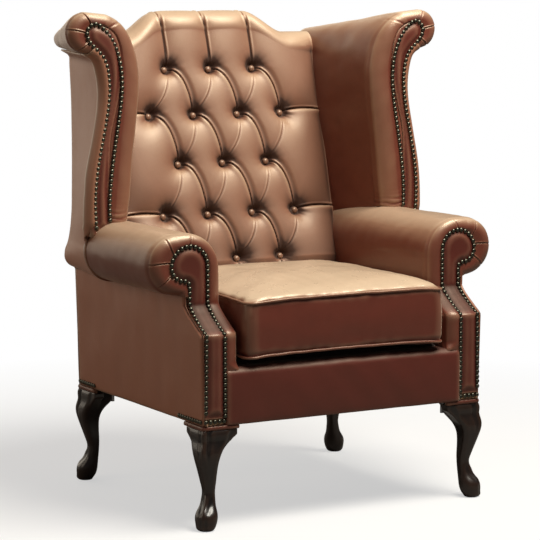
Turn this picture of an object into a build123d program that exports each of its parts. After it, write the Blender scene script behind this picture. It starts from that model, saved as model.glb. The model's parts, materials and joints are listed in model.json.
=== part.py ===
"""A deep-buttoned wing armchair, built as its separate pieces.

Millimetres. +Z is up, the chair faces -Y, and the origin is on the floor under the middle of the
chair's bounding box. Left and right are as seen from the front. Depths are written from the front
face of the front seat rail, and the planes below shift them to the origin.
"""
import os
from math import asin, atan, ceil, cos, hypot, sin, sqrt

from build123d import *

os.makedirs("parts", exist_ok=True)

# Overall sizes
wing_top = 1066
base_width = 686
base_depth = 606
front_reach = 12.4
back_reach = 715
half_base = base_width / 2
origin_setback = (back_reach - front_reach) / 2

# Layers and working clearances
cut_overrun = 5
leather_panel = 6
facing_thickness = 4
facing_proud = 1
soft_clearance = 0.5
bolt_clearance = 0.05

# Legs
knee_top = 211
base_bottom = 220
leg_block_inset = 8
leg_block_width = 66
# Height, distance of the middle in from the base corner, width, and corner radius as a share of it
leg_height_shares = (0, 0.052, 0.104, 0.161, 0.237, 0.308, 0.374, 0.455, 0.526, 0.602, 0.673, 0.787,
                     0.90, 1)
leg_inset_shares = (0.050, 0.052, 0.059, 0.067, 0.093, 0.107, 0.114, 0.107, 0.096, 0.085, 0.078,
                    0.093, 0.140, 0.168)
leg_width_shares = (0.142, 0.201, 0.219, 0.213, 0.156, 0.130, 0.119, 0.137, 0.156, 0.178, 0.202,
                    0.251, 0.300, 0.336)
leg_round_shares = (0.49, 0.47, 0.46, 0.45, 0.42, 0.38, 0.35, 0.32, 0.30, 0.28, 0.26, 0.22, 0.18,
                    0.15)
bracket_length = 81
bracket_thickness = 24
bracket_end = 13
bracket_setback = 1.5
bracket_drop = 74
bracket_foot = 26
bracket_waist_share = 0.42
bolt_radius = 4
bolt_length = 72
bolt_inset = 58

# Seat frame
rail_top = 310
rail_thickness = 32
corner_block_leg = 90
corner_block_height = 70
dust_cover_thickness = 1.5
dust_cover_inset = 34
dust_cover_corner = 2 * (leg_block_inset + leg_block_width - dust_cover_inset + cut_overrun)
welt_height = base_bottom - knee_top
welt_proud = 2.5
welt_length = 86
rail_face = half_base - leather_panel
rail_inner = rail_face - rail_thickness
rear_inner = base_depth - leather_panel

# Arms
arm_inner = 258
arm_padding = 26
arm_top = 613
roll_centre_x = 363
roll_radius = 64
roll_centre_z = arm_top - roll_radius
arm_shoulder = 78
arm_flare = 7
knee_low = 409
knee_high = 463
arm_setback = 75
# The hollow line of the arm's front from knee_low up to knee_high: setback and rise
knee_shares = ((0, 0), (0.28, 0.2), (0.56, 0.46), (0.8, 0.72), (1, 1))
roll_taper_start = 372
roll_rear_reach = 372
post_thickness = 34
post_trim = 1.7
arm_rail_width = 68
arm_rail_height = 42
arm_rail_top = 562

# Nails
nail_pitch = 10.7
nail_radius = 4.7
nail_dome = 3.1
nail_shank_radius = 0.7
nail_shank = 3
nail_edge = 5.2
arm_nail_inner = 293
arm_nail_outer = half_base - nail_edge
base_nail_height = 229
facing_foot = base_nail_height + nail_edge
base_nails_front = 9
base_nails_side = 10
base_nails_rear = 8
row_step = 1

# Scroll of nails on each arm facing
scroll_radius = 42
scroll_centre_x = arm_nail_inner + scroll_radius
scroll_centre_z = 545
curl_radius = 30
curl_throat = 12

# Back
back_bend = 500
back_top = 1040
back_face = 458
back_recline_share = 0.3178
back_post_thickness = 28
back_post_inner = 272
back_post_top = 985
crest_top = 1065
shoulder_top = 1014
hump_half = 112
hump_foot = 196
back_half_low = 262
back_half_high = 285
crest_padding = 935
crest_rail_height = 50
lower_back_rail_base = 370
lower_back_rail_height = 50
webbing_thickness = 2
webbing_width = 50
webbing_heights = (640, 720, 800, 880)
crest_round = 24

# Buttons and tufts
button_radius = 7.3
button_dome = 4
button_rim = 2
button_depth = 24
button_seat = 8.5
dimple_radius = 30
tuft_width = 74
tuft_depth = 17
tuft_lip = 2
tuft_flank_share = 0.42
tuft_flank_depth_share = 0.36
button_step = 115
button_rows = (928, 824, 715, 601, 500)
button_counts = (3, 4, 3, 4, 3)

# Wings
wing_front = 365
wing_foot = 556
wing_board_thickness = 26
wing_roll_radius = 44
wing_roll_centre_x = 425
wing_roll_centre_z = wing_top - wing_roll_radius
wing_rear_roll_radius = 19
wing_rear_roll_x = 328
wing_rear_roll_z = 999
wing_panel = 7
panel_gap = 0.3
wing_rail_size = 28
wing_rail_height = 955
wing_rail_front_x = 342
panel_shoulder = 990
wing_reach = wing_roll_centre_x + wing_roll_radius
# Outlines of a wing seen from the front, at its nailed front and as far back as the outside back:
# shares of the reach across and of the rise from the wing's foot to its top
wing_front_shares = {
    "foot_in": (0.6994, 0), "in_low": (0.6546, 0.4), "in_high": (0.6226, 0.7039),
    "neck": (0.6482, 0.8412), "throat": (0.7463, 0.9608), "brow": (0.823, 0.9922),
    "crease": (0.8529, 0.7961), "waist": (0.8337, 0.6451), "hip": (0.8635, 0.4784),
    "calf": (0.9062, 0.2627), "foot_out": (0.9041, 0),
}
wing_rear_shares = {
    "foot_in": (0.4606, 0), "in_low": (0.5288, 0.4), "in_high": (0.5778, 0.7333),
    "neck": (0.5991, 0.8216), "throat": (0.6354, 0.8863), "brow": (0.6525, 0.9),
    "crease": (0.6695, 0.7961), "waist": (0.6866, 0.6353), "hip": (0.7058, 0.4392),
    "calf": (0.7271, 0.2196), "foot_out": (0.7356, 0),
}
wing_board_shares = (
    (0.8635, 0.9373), (0.8913, 0.902), (0.8188, 0.8078), (0.791, 0.6843), (0.823, 0.4784),
    (0.8614, 0.2627), (0.8614, 0.1098), (0.7505, 0.0863), (0.7505, 0.0118), (0.7079, 0.0118),
    (0.6994, 0.2627), (0.6759, 0.4784), (0.6631, 0.6745), (0.678, 0.802), (0.7505, 0.9098),
)
# The row of nails, up its inner side, round the scroll and down its outer side
wing_nail_inner_shares = (
    (0.8038, 0.1216), (0.8049, 0.1843), (0.7974, 0.2824), (0.7697, 0.4588), (0.7484, 0.5765),
    (0.7377, 0.6647), (0.7399, 0.7529), (0.7527, 0.8118), (0.7783, 0.8706),
)
wing_nail_outer_shares = (
    (0.8731, 0.0922), (0.8785, 0.1843), (0.8721, 0.2824), (0.838, 0.4588), (0.8124, 0.5765),
    (0.8017, 0.6647), (0.8081, 0.7529), (0.8316, 0.8118), (0.8934, 0.8706),
)
wing_nail_turn_shares = ((0.8273, 0.9294), (0.8721, 0.951), (0.9104, 0.9216))
wing_nail_middle_share = (0.8657, 0.9059)

# Seat springs and deck
spring_wire = 1.9
spring_count = 5
spring_spacing = 92
spring_half_width = 24
spring_pitch = 30
spring_bend_share = 0.46
clip_length = 22
clip_width = 16
clip_height = 6
deck_cloth_thickness = 1.5
deck_half = 256
border_top = 335

# Seat cushion
cushion_half = 246
cushion_reach = 13
cushion_low = 361
cushion_high = 475
cushion_crown = 35
cushion_belly = 16
deck_top = cushion_low - cushion_belly - soft_clearance
cushion_bulge = 5
cushion_corner = 26
cushion_draw = 3
core_inset = 16
piping_radius = 4
cushion_back = back_face - soft_clearance
crown_inset_shares = (0, 0.055, 0.20, 0.45)
crown_rise_shares = (0, 0.50, 0.84, 1)


# Planes and faces that many pieces share
def upright(depth):
    return Plane(origin=(0, depth - origin_setback, 0), x_dir=(1, 0, 0), z_dir=(0, -1, 0))


def beside(across):
    return Plane(origin=(across, -origin_setback, 0), x_dir=(0, 1, 0), z_dir=(1, 0, 0))


def level(height):
    return Plane(origin=(0, -origin_setback, height), x_dir=(1, 0, 0), z_dir=(0, 0, 1))


back_lean_share = (back_reach - base_depth) / (back_top - back_bend)


def rear_face(height):
    return base_depth + max(0, height - back_bend) * back_lean_share


def front_face(height):
    return back_face + max(0, height - back_bend) * back_recline_share


def side_face(height):
    roll_foot = roll_centre_z - roll_radius
    return half_base + arm_flare * (height - base_bottom) / (roll_foot - base_bottom)


def save(piece, name):
    piece.part.label = name
    export_step(piece.part, f"parts/{name}.step")


def save_pair(right, name):
    """Write the right-hand piece and its mirror image."""
    with BuildPart() as left:
        mirror(right.part, about=Plane.YZ)
    save(right, f"{name}_right")
    save(left, f"{name}_left")
    return left


def leaning_strip(front_layer, rear_layer, low, high):
    """Outline, seen from the side, of a piece that lies parallel to the outside back."""
    heights = [low, high] if low >= back_bend or high <= back_bend else [low, back_bend, high]
    front = [(rear_face(height) - front_layer, height) for height in heights]
    rear = [(rear_face(height) - rear_layer, height) for height in reversed(heights)]
    return Polyline(*front, *rear, close=True)


def dome_arc(radius, height, base):
    """The arc that turns into a round cap, from its rim to its crown."""
    ball = (radius ** 2 + height ** 2) / (2 * height)
    half_turn = asin(radius / ball) / 2
    middle = (ball * sin(half_turn), base + height - ball + ball * cos(half_turn))
    ThreePointArc((radius, base), middle, (0, base + height))


# Legs
leg_shares = zip(leg_height_shares, leg_inset_shares, leg_width_shares, leg_round_shares)
with BuildPart() as front_leg_right:
    for height_share, inset_share, width_share, round_share in leg_shares:
        width = width_share * knee_top
        middle = inset_share * knee_top
        with BuildSketch(level(height_share * knee_top)):
            with Locations((half_base - middle, middle)):
                RectangleRounded(width, width, round_share * width)
    loft()
    # The block that carries the leg up inside the welt to the rails
    with BuildSketch(level(knee_top)):
        with Locations((half_base - leg_block_inset, leg_block_inset)):
            Rectangle(leg_block_width, leg_block_width, align=(Align.MAX, Align.MIN))
    extrude(amount=welt_height)
    # One bracket along the front rail and one along the side rail
    for plane, outward in ((upright(bracket_setback), -1),
                           (beside(half_base - bracket_setback), 1)):
        corner = half_base if outward < 0 else 0
        with BuildSketch(plane):
            with BuildLine():
                foot = (corner + outward * bracket_foot, knee_top - bracket_drop)
                tip = (corner + outward * bracket_length, knee_top - bracket_end)
                waist = (corner + outward * (bracket_foot + bracket_length) / 2,
                         knee_top - (bracket_drop + bracket_end) * bracket_waist_share)
                Polyline(foot, (foot[0], knee_top), (tip[0], knee_top), tip)
                ThreePointArc(tip, waist, foot)
            make_face()
        extrude(amount=-bracket_thickness)
    with Locations((half_base - bolt_inset, bolt_inset - origin_setback, base_bottom)):
        Hole(bolt_radius + bolt_clearance, depth=bolt_length / 2)
save_pair(front_leg_right, "front_leg")

middle_plane = upright(base_depth / 2)
with BuildPart() as rear_leg_right:
    mirror(front_leg_right.part, about=middle_plane)
save_pair(rear_leg_right, "rear_leg")

bolt_places = [(sx * (half_base - bolt_inset), sy, base_bottom - bolt_length / 2)
               for sx in (1, -1)
               for sy in (bolt_inset - origin_setback, base_depth - bolt_inset - origin_setback)]
with BuildPart() as leg_bolts:
    with Locations(*bolt_places):
        Cylinder(bolt_radius, bolt_length, align=(Align.CENTER, Align.CENTER, Align.MIN))
save(leg_bolts, "leg_bolts")


# Leather welts that lie on top of the legs, round the base corners
welt_outer = half_base + welt_proud
welt_end = welt_outer - welt_length
welt_inner = half_base - leg_block_inset
with BuildPart() as leg_welts:
    with BuildSketch(level(knee_top)):
        for sx in (1, -1):
            for edge, inward in ((-welt_proud, 1), (base_depth + welt_proud, -1)):
                inside = edge + inward * (leg_block_inset + welt_proud)
                end = edge + inward * welt_length
                Polygon((sx * welt_outer, edge), (sx * welt_end, edge), (sx * welt_end, inside),
                        (sx * welt_inner, inside), (sx * welt_inner, end), (sx * welt_outer, end),
                        align=None)
    extrude(amount=welt_height)
save(leg_welts, "leg_welts")

# Seat rails
rail_height = rail_top - base_bottom
post_front = facing_thickness - facing_proud
post_rear = post_front + post_thickness
post_inner = arm_nail_inner + post_trim
with BuildPart() as front_rail:
    with BuildSketch(level(base_bottom)):
        with Locations((0, leather_panel)):
            Rectangle(2 * post_inner, post_rear - leather_panel, align=(Align.CENTER, Align.MIN))
    extrude(amount=rail_height)
save(front_rail, "front_rail")

with BuildPart() as rear_rail:
    with BuildSketch(level(base_bottom)):
        with Locations((0, rear_inner)):
            Rectangle(2 * rail_inner, rail_thickness, align=(Align.CENTER, Align.MAX))
    extrude(amount=rail_height)
save(rear_rail, "rear_rail")

with BuildPart() as side_rail_right:
    with BuildSketch(level(base_bottom)):
        with Locations((rail_face, post_rear)):
            Rectangle(rail_thickness, rear_inner - post_rear, align=(Align.MAX, Align.MIN))
    extrude(amount=rail_height)
save_pair(side_rail_right, "side_rail")

rear_corner = rear_inner - rail_thickness
with BuildPart() as corner_blocks:
    with BuildSketch(level(base_bottom)):
        for sx in (1, -1):
            Polygon((sx * rail_inner, post_rear), (sx * (rail_inner - corner_block_leg), post_rear),
                    (sx * rail_inner, post_rear + corner_block_leg), align=None)
            Polygon((sx * rail_inner, rear_corner),
                    (sx * (rail_inner - corner_block_leg), rear_corner),
                    (sx * rail_inner, rear_corner - corner_block_leg), align=None)
    extrude(amount=corner_block_height)
    with Locations(*[(x, y, base_bottom) for x, y, z in bolt_places]):
        Cylinder(bolt_radius + bolt_clearance, bolt_length, mode=Mode.SUBTRACT,
                 align=(Align.CENTER, Align.CENTER, Align.CENTER))
save(corner_blocks, "corner_blocks")

with BuildPart() as dust_cover:
    with BuildSketch(level(base_bottom)):
        with Locations((0, base_depth / 2)):
            Rectangle(base_width - 2 * dust_cover_inset, base_depth - 2 * dust_cover_inset)
            with GridLocations(base_width - 2 * dust_cover_inset, base_depth - 2 * dust_cover_inset,
                               2, 2):
                Rectangle(dust_cover_corner, dust_cover_corner, mode=Mode.SUBTRACT)
    extrude(amount=-dust_cover_thickness)
save(dust_cover, "dust_cover")


# The scrolled outline of an arm facing, seen from the front, a margin outside its row of nails
def scroll_outline(margin, foot):
    left = arm_nail_inner - margin
    right = scroll_centre_x + scroll_radius + margin
    curl_x = scroll_centre_x + scroll_radius - curl_radius
    curl_z = scroll_centre_z
    curl = curl_radius + margin
    throat = curl_throat - margin
    low = curl_z - curl
    outer_x = arm_nail_outer + margin
    lean = sqrt(0.5)
    Line((left, foot), (left, scroll_centre_z))
    ThreePointArc((left, scroll_centre_z), (scroll_centre_x, scroll_centre_z + scroll_radius + margin),
                  (right, scroll_centre_z))
    ThreePointArc((right, curl_z), (curl_x + curl * lean, curl_z - curl * lean), (curl_x, low))
    ThreePointArc((curl_x, low), (curl_x - throat * lean, low - throat + throat * lean),
                  (curl_x - throat, low - throat))
    Line((curl_x - throat, low - throat), (outer_x, foot))
    Line((outer_x, foot), (left, foot))


knee_line = [(arm_setback * setback_share, knee_low + (knee_high - knee_low) * rise_share)
             for setback_share, rise_share in knee_shares]


def arm_front_line(layer, low, high):
    """The arm's stepped front, seen from the side and from the bottom up, a layer behind it."""
    knee = [(depth + layer, height) for depth, height in knee_line]
    return [(layer, low), *knee, (arm_setback + layer, high)]


def arm_front_profile(front_layer, rear_layer, high):
    """Outline, seen from the side, of a piece that follows the arm's stepped front."""
    rear = arm_front_line(rear_layer, base_bottom, high)
    Polyline(*arm_front_line(front_layer, base_bottom, high), *reversed(rear), close=True)


def scrolled_board(margin, foot, front_layer, rear_layer):
    with BuildPart() as board:
        with BuildSketch(upright(-cut_overrun)):
            with BuildLine():
                scroll_outline(margin, foot)
            make_face()
        extrude(amount=-(arm_setback + rear_layer + 2 * cut_overrun))
        with BuildSketch(beside(arm_inner)):
            with BuildLine():
                arm_front_profile(front_layer, rear_layer, arm_top)
            make_face()
        extrude(amount=roll_centre_x + roll_radius - arm_inner, mode=Mode.INTERSECT)
    return board


arm_facing_right = scrolled_board(nail_edge, facing_foot, -facing_proud, post_front)
save_pair(arm_facing_right, "arm_facing")

arm_post_right = scrolled_board(-post_trim, base_bottom, post_front, post_rear)
save_pair(arm_post_right, "arm_post")

# Back posts and rails
post_layer = leather_panel + back_post_thickness
with BuildPart() as back_post_right:
    with BuildSketch(beside(back_post_inner)):
        with BuildLine():
            leaning_strip(post_layer, leather_panel, rail_top, back_post_top)
        make_face()
    extrude(amount=back_post_thickness)
back_post_left = save_pair(back_post_right, "back_post")


def back_rail(low, high):
    with BuildPart() as rail:
        with BuildSketch(beside(-back_post_inner)):
            with BuildLine():
                leaning_strip(post_layer, leather_panel, low, high)
            make_face()
        extrude(amount=2 * back_post_inner)
    return rail


crest_rail = back_rail(back_post_top - crest_rail_height, back_post_top)
save(crest_rail, "crest_rail")

lower_back_rail = back_rail(lower_back_rail_base, lower_back_rail_base + lower_back_rail_height)
save(lower_back_rail, "lower_back_rail")

strap_layer = post_layer + webbing_thickness
strap_half = back_post_inner + back_post_thickness
with BuildPart() as back_webbing:
    for strap_height in webbing_heights:
        with BuildSketch(beside(-strap_half)):
            with BuildLine():
                leaning_strip(strap_layer, post_layer, strap_height, strap_height + webbing_width)
            make_face()
    extrude(amount=2 * strap_half)
save(back_webbing, "back_webbing")

with BuildPart() as arm_rail_right:
    with BuildSketch(upright(arm_setback + post_rear)):
        with Locations((arm_inner + arm_padding, arm_rail_top)):
            Rectangle(arm_rail_width, arm_rail_height, align=(Align.MIN, Align.MAX))
    extrude(amount=-(rear_inner - arm_setback - post_rear))
    add(back_post_right.part, mode=Mode.SUBTRACT)
save_pair(arm_rail_right, "arm_rail")

# The inside back before its tufts are sewn, which other pieces are cut to
back_padding_base = deck_top
with BuildPart() as back_block:
    with BuildSketch(upright(0)):
        with BuildLine():
            low_right = (back_half_low, back_padding_base)
            low_left = (-back_half_low, back_padding_base)
            high_right = (back_half_high, shoulder_top)
            high_left = (-back_half_high, shoulder_top)
            Polyline(high_left, low_left, low_right, high_right)
            Line(high_right, (hump_foot, shoulder_top))
            Spline((hump_foot, shoulder_top), (hump_half, crest_top), tangents=((-1, 0), (-1, 0)))
            Line((hump_half, crest_top), (-hump_half, crest_top))
            Spline((-hump_half, crest_top), (-hump_foot, shoulder_top), tangents=((-1, 0), (-1, 0)))
            Line((-hump_foot, shoulder_top), high_left)
        make_face()
    extrude(amount=-(back_reach + cut_overrun))
    with BuildSketch(beside(-back_half_high)):
        with BuildLine():
            Polyline((front_face(back_padding_base), back_padding_base),
                     (front_face(back_bend), back_bend), (front_face(crest_top), crest_top),
                     (rear_face(crest_top) - leather_panel, crest_top),
                     (rear_face(crest_padding) - leather_panel, crest_padding),
                     (rear_face(crest_padding) - strap_layer, crest_padding),
                     (rear_face(back_bend) - strap_layer, back_bend),
                     (rear_face(back_padding_base) - strap_layer, back_padding_base), close=True)
        make_face()
    extrude(amount=2 * back_half_high, mode=Mode.INTERSECT)
    crown_edges = back_block.edges().filter_by(
        lambda edge: edge.bounding_box().min.Z > shoulder_top - cut_overrun
        and edge.bounding_box().size.X > edge.bounding_box().size.Y)
    fillet(crown_edges, crest_round)

# Arms: the padded inside arm with its roll, then the outside panel below the roll
roll_foot_drop = sqrt(roll_radius ** 2 - (roll_centre_x - side_face(roll_centre_z - roll_radius)) ** 2)
roll_foot = (side_face(roll_centre_z - roll_radius), roll_centre_z - roll_foot_drop)
with BuildPart() as arm_form:
    with BuildSketch(upright(0)):
        with BuildLine():
            shoulder = (arm_inner, arm_top - arm_shoulder)
            crown = (arm_inner + arm_shoulder, arm_top)
            lean = arm_shoulder * sqrt(0.5)
            Polyline((rail_face, base_bottom), (arm_inner, base_bottom), shoulder)
            ThreePointArc(shoulder, (crown[0] - lean, shoulder[1] + lean), crown)
            Line(crown, (roll_centre_x, arm_top))
            ThreePointArc((roll_centre_x, arm_top),
                          (roll_centre_x + roll_radius * sqrt(0.5),
                           roll_centre_z + roll_radius * sqrt(0.5)),
                          (roll_centre_x + roll_radius, roll_centre_z))
            ThreePointArc((roll_centre_x + roll_radius, roll_centre_z),
                          (roll_centre_x + roll_radius * sqrt(0.5),
                           roll_centre_z - roll_radius * sqrt(0.5)), roll_foot)
            Polyline(roll_foot, (rail_face, roll_foot[1]), (rail_face, base_bottom))
        make_face()
    extrude(amount=-rear_inner)
    with BuildSketch(beside(arm_inner)):
        with BuildLine():
            Polyline(*arm_front_line(0, base_bottom, arm_top), (rear_inner, arm_top),
                     (rear_inner, rail_top), (post_rear, rail_top), (post_rear, base_bottom),
                     close=True)
        make_face()
    extrude(amount=roll_centre_x + roll_radius - arm_inner, mode=Mode.INTERSECT)
    # Behind the wing's front the roll narrows to meet the back
    with BuildSketch(level(base_bottom)):
        roll_reach = roll_centre_x + roll_radius
        Polygon((arm_inner, 0), (roll_reach, 0), (roll_reach, roll_taper_start),
                (roll_rear_reach, rear_inner), (arm_inner, rear_inner), align=None)
    extrude(amount=arm_top - base_bottom, mode=Mode.INTERSECT)

with BuildPart() as outside_arm_right:
    with BuildSketch(upright(0)):
        Polygon((rail_face, base_bottom), (half_base, base_bottom), roll_foot,
                (rail_face, roll_foot[1]), align=None)
    extrude(amount=-rear_inner)
    with BuildSketch(beside(arm_inner)):
        with BuildLine():
            arm_front_profile(0, rear_inner, roll_foot[1])
        make_face()
    extrude(amount=roll_centre_x - arm_inner, mode=Mode.INTERSECT)
    add(arm_facing_right.part, mode=Mode.SUBTRACT)
save_pair(outside_arm_right, "outside_arm")

# Wings: the nailed facing, the board behind it, and the rail from there to the back post
def on_wing(place):
    """A place in the wing's own shares, seen from the front."""
    across_share, rise_share = place
    return wing_reach * across_share, wing_foot + (wing_top - wing_foot) * rise_share


def wing_row_points(margin):
    """Points a margin outside the nails, up the inner row, round the scroll and down the outer."""
    inner = [on_wing(place) for place in wing_nail_inner_shares]
    outer = [on_wing(place) for place in wing_nail_outer_shares]
    middle_x, middle_z = on_wing(wing_nail_middle_share)
    inner_row = [(x - margin, z) for x, z in inner]
    outer_row = [(x + margin, z) for x, z in outer]
    inner_row[0] = (inner[0][0] - margin, inner[0][1] - margin)
    outer_row[0] = (outer[0][0] + margin, outer[0][1] - margin)
    turn = []
    for x, z in map(on_wing, wing_nail_turn_shares):
        grown = 1 + margin / hypot(x - middle_x, z - middle_z)
        turn.append((middle_x + (x - middle_x) * grown, middle_z + (z - middle_z) * grown))
    return inner_row + turn + outer_row[::-1]


with BuildPart() as wing_facing_right:
    with BuildSketch(upright(wing_front - facing_proud)):
        with BuildLine():
            edge_points = wing_row_points(nail_edge)
            Spline(*edge_points)
            Line(edge_points[-1], edge_points[0])
        make_face()
    extrude(amount=-facing_thickness)
    add(arm_form.part, mode=Mode.SUBTRACT)
save_pair(wing_facing_right, "wing_facing")

wing_board_front = wing_front + facing_thickness - facing_proud
with BuildPart() as wing_board_right:
    with BuildSketch(upright(wing_board_front)):
        with BuildLine():
            Polyline(*map(on_wing, wing_board_shares), close=True)
        make_face()
    extrude(amount=-wing_board_thickness)
save_pair(wing_board_right, "wing_board")

wing_board_rear = wing_board_front + wing_board_thickness
with BuildPart() as wing_rail_right:
    with BuildSketch(upright(wing_board_rear)):
        with Locations((wing_rail_front_x, wing_rail_height)):
            Rectangle(wing_rail_size, wing_rail_size)
    rail_foot = wing_rail_height - wing_rail_size / 2
    with BuildSketch(upright(rear_face(rail_foot) - leather_panel)):
        with Locations((back_post_inner + back_post_thickness / 2, wing_rail_height)):
            Rectangle(wing_rail_size, wing_rail_size)
    loft(ruled=True)
    add(back_post_right.part, mode=Mode.SUBTRACT)
wing_rail_left = save_pair(wing_rail_right, "wing_rail")

# A wing's outline runs from its nailed front back to the outside back
wing_front_outline = {name: on_wing(place) for name, place in wing_front_shares.items()}
wing_front_outline["roll"] = (wing_roll_centre_x, wing_roll_centre_z, wing_roll_radius)
wing_rear_outline = {name: on_wing(place) for name, place in wing_rear_shares.items()}
wing_rear_outline["roll"] = (wing_rear_roll_x, wing_rear_roll_z, wing_rear_roll_radius)


def wing_points(share):
    """The named points of the wing's outline, a share of the way back."""
    return {name: tuple(a + (b - a) * share for a, b in zip(point, wing_rear_outline[name]))
            for name, point in wing_front_outline.items()}


def wing_section(share, trim):
    """The wing's outline a share of the way back, its outer edge moved in by a trim."""
    at = wing_points(share)
    for name in ("crease", "waist", "hip", "calf", "foot_out"):
        at[name] = (at[name][0] - trim, at[name][1])
    middle_x, middle_z, radius = at["roll"]
    diagonal = radius * sqrt(0.5)
    crown, under = (middle_x, middle_z + radius), (middle_x, middle_z - radius)
    outermost = (middle_x + radius, middle_z)
    with BuildSketch(upright(wing_front + share * (back_reach - wing_front))) as section:
        with BuildLine():
            ThreePointArc(at["foot_in"], at["in_low"], at["in_high"])
            ThreePointArc(at["in_high"], at["neck"], at["throat"])
            ThreePointArc(at["throat"], at["brow"], crown)
            ThreePointArc(crown, (middle_x + diagonal, middle_z + diagonal), outermost)
            ThreePointArc(outermost, (middle_x + diagonal, middle_z - diagonal), under)
            Line(under, at["crease"])
            ThreePointArc(at["crease"], at["waist"], at["hip"])
            ThreePointArc(at["hip"], at["calf"], at["foot_out"])
            Line(at["foot_out"], at["foot_in"])
        make_face()
    return section.sketch


def wing_panel_section(share):
    """The outside wing panel's outline, a panel thick inside the wing's outer edge."""
    at = wing_points(share)
    names = ("crease", "waist", "hip", "calf", "foot_out")
    outer = [at[name] for name in names]
    inner = [(x - wing_panel, z) for x, z in reversed(outer)]
    with BuildSketch(upright(wing_front + share * (back_reach - wing_front))) as section:
        with BuildLine():
            ThreePointArc(*outer[0:3])
            ThreePointArc(*outer[2:5])
            Line(outer[4], inner[0])
            ThreePointArc(*inner[0:3])
            ThreePointArc(*inner[2:5])
            Line(inner[4], outer[0])
        make_face()
    return section.sketch


wing_section_shares = (0, 0.35, 0.7, 1)
with BuildPart() as behind_back:
    with BuildSketch(beside(0)):
        with BuildLine():
            Polyline((rear_inner, back_bend),
                     (rear_face(wing_top + cut_overrun) - leather_panel, wing_top + cut_overrun),
                     (2 * back_reach, wing_top + cut_overrun), (2 * back_reach, back_bend),
                     close=True)
        make_face()
    extrude(amount=half_base + wing_roll_centre_x)

with BuildPart() as wing_form:
    inner_trim = wing_panel + panel_gap
    loft([wing_section(share, inner_trim) for share in wing_section_shares], ruled=True)
    add(behind_back.part, mode=Mode.SUBTRACT)

with BuildPart() as outside_wing_right:
    loft([wing_panel_section(share) for share in wing_section_shares], ruled=True)
    add([behind_back.part, arm_form.part, wing_facing_right.part], mode=Mode.SUBTRACT)
save_pair(outside_wing_right, "outside_wing")

with BuildPart() as inside_wing_right:
    add(wing_form.part)
    add([arm_form.part, back_block.part, wing_facing_right.part, wing_board_right.part,
         wing_rail_right.part, back_post_right.part, back_webbing.part, crest_rail.part],
        mode=Mode.SUBTRACT)
save_pair(inside_wing_right, "inside_wing")

# Inside arms: the padded form, hollow behind its inner wall
with BuildPart() as inside_arm_right:
    add(arm_form.part)
    with BuildSketch(beside(arm_inner + arm_padding)):
        with BuildLine():
            core_top = arm_rail_top - arm_rail_height
            Polyline(*arm_front_line(post_rear, rail_top, core_top),
                     (rear_inner - back_post_thickness, core_top),
                     (rear_inner - back_post_thickness, rail_top), close=True)
        make_face()
    extrude(amount=rail_face - arm_inner - arm_padding, mode=Mode.SUBTRACT)
    add([arm_facing_right.part, arm_post_right.part, front_rail.part, arm_rail_right.part,
         back_post_right.part, back_block.part, wing_board_right.part, lower_back_rail.part],
        mode=Mode.SUBTRACT)
save_pair(inside_arm_right, "inside_arm")

# Inside back with its buttons and sewn tufts
recline = atan(back_recline_share)
face_normal = Vector(0, -cos(recline), sin(recline))
face_rise = Vector(0, sin(recline), cos(recline))
face_origin = Vector(0, back_face - origin_setback, back_bend)


def on_face(across, button_height):
    """Where the axis of a button at this place meets the back's padded face."""
    rise = (button_height + button_depth * sin(recline) - back_bend) / cos(recline)
    return face_origin + face_rise * rise + Vector(across, 0, 0)


button_spots = [[((i - (count - 1) / 2) * button_step, height) for i in range(count)]
                for height, count in zip(button_rows, button_counts)]
seats = [Plane(origin=on_face(*spot) - face_normal * button_depth, x_dir=(1, 0, 0),
               z_dir=face_normal) for row in button_spots for spot in row]

pleats = []
for upper, lower in zip(button_spots, button_spots[1:]):
    pleats += [(on_face(*a), on_face(*b), face_normal) for a in upper for b in lower
               if abs(a[0] - b[0]) < button_step]
for row in button_spots[1::2]:
    for sx in (1, -1):
        across, height = row[-1] if sx > 0 else row[0]
        pleats.append((on_face(across, height),
                       on_face(sx * (back_half_high + cut_overrun), height), face_normal))
for across, height in button_spots[0]:
    pleats.append((on_face(across, height), on_face(across, crest_top + crest_round), face_normal))
for across, height in button_spots[-1]:
    bend = Vector(across, back_face - origin_setback, back_bend)
    pleats.append((bend, bend - Vector(0, 0, back_bend - back_padding_base + cut_overrun),
                   Vector(0, -1, 0)))


def pleat_tool(start, end, normal):
    """A valley between two swelling lips, as long as from one button to the next."""
    along = (end - start).normalized()
    with BuildPart() as tool:
        with BuildSketch(Plane(origin=start, x_dir=normal.cross(along), z_dir=along)):
            with BuildLine():
                half = tuft_width / 2
                flank = (half * tuft_flank_share, -tuft_depth * tuft_flank_depth_share)
                ThreePointArc((-half, tuft_lip), (-flank[0], flank[1]), (0, -tuft_depth))
                ThreePointArc((0, -tuft_depth), flank, (half, tuft_lip))
                Polyline((half, tuft_lip), (half, tuft_depth), (-half, tuft_depth),
                         (-half, tuft_lip))
            make_face()
        extrude(amount=(end - start).length)
    return tool.part


with BuildPart() as inside_back:
    add(back_block.part)
    add([back_post_right.part, back_post_left.part, crest_rail.part, wing_rail_right.part,
         wing_rail_left.part], mode=Mode.SUBTRACT)
    add([pleat_tool(*pleat) for pleat in pleats], mode=Mode.SUBTRACT)
    with Locations(*seats):
        Cone(button_seat, dimple_radius, button_depth + cut_overrun, mode=Mode.SUBTRACT,
             align=(Align.CENTER, Align.CENTER, Align.MIN))
save(inside_back, "inside_back")

with BuildPart() as button:
    with BuildSketch(Plane.XZ):
        with BuildLine():
            Polyline((0, button_rim + button_dome), (0, 0), (button_radius, 0),
                     (button_radius, button_rim))
            dome_arc(button_radius, button_dome, button_rim)
        make_face()
    revolve(axis=Axis.Z)
with BuildPart() as back_buttons:
    with Locations(*seats):
        add(button.part)
save(back_buttons, "back_buttons")

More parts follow.
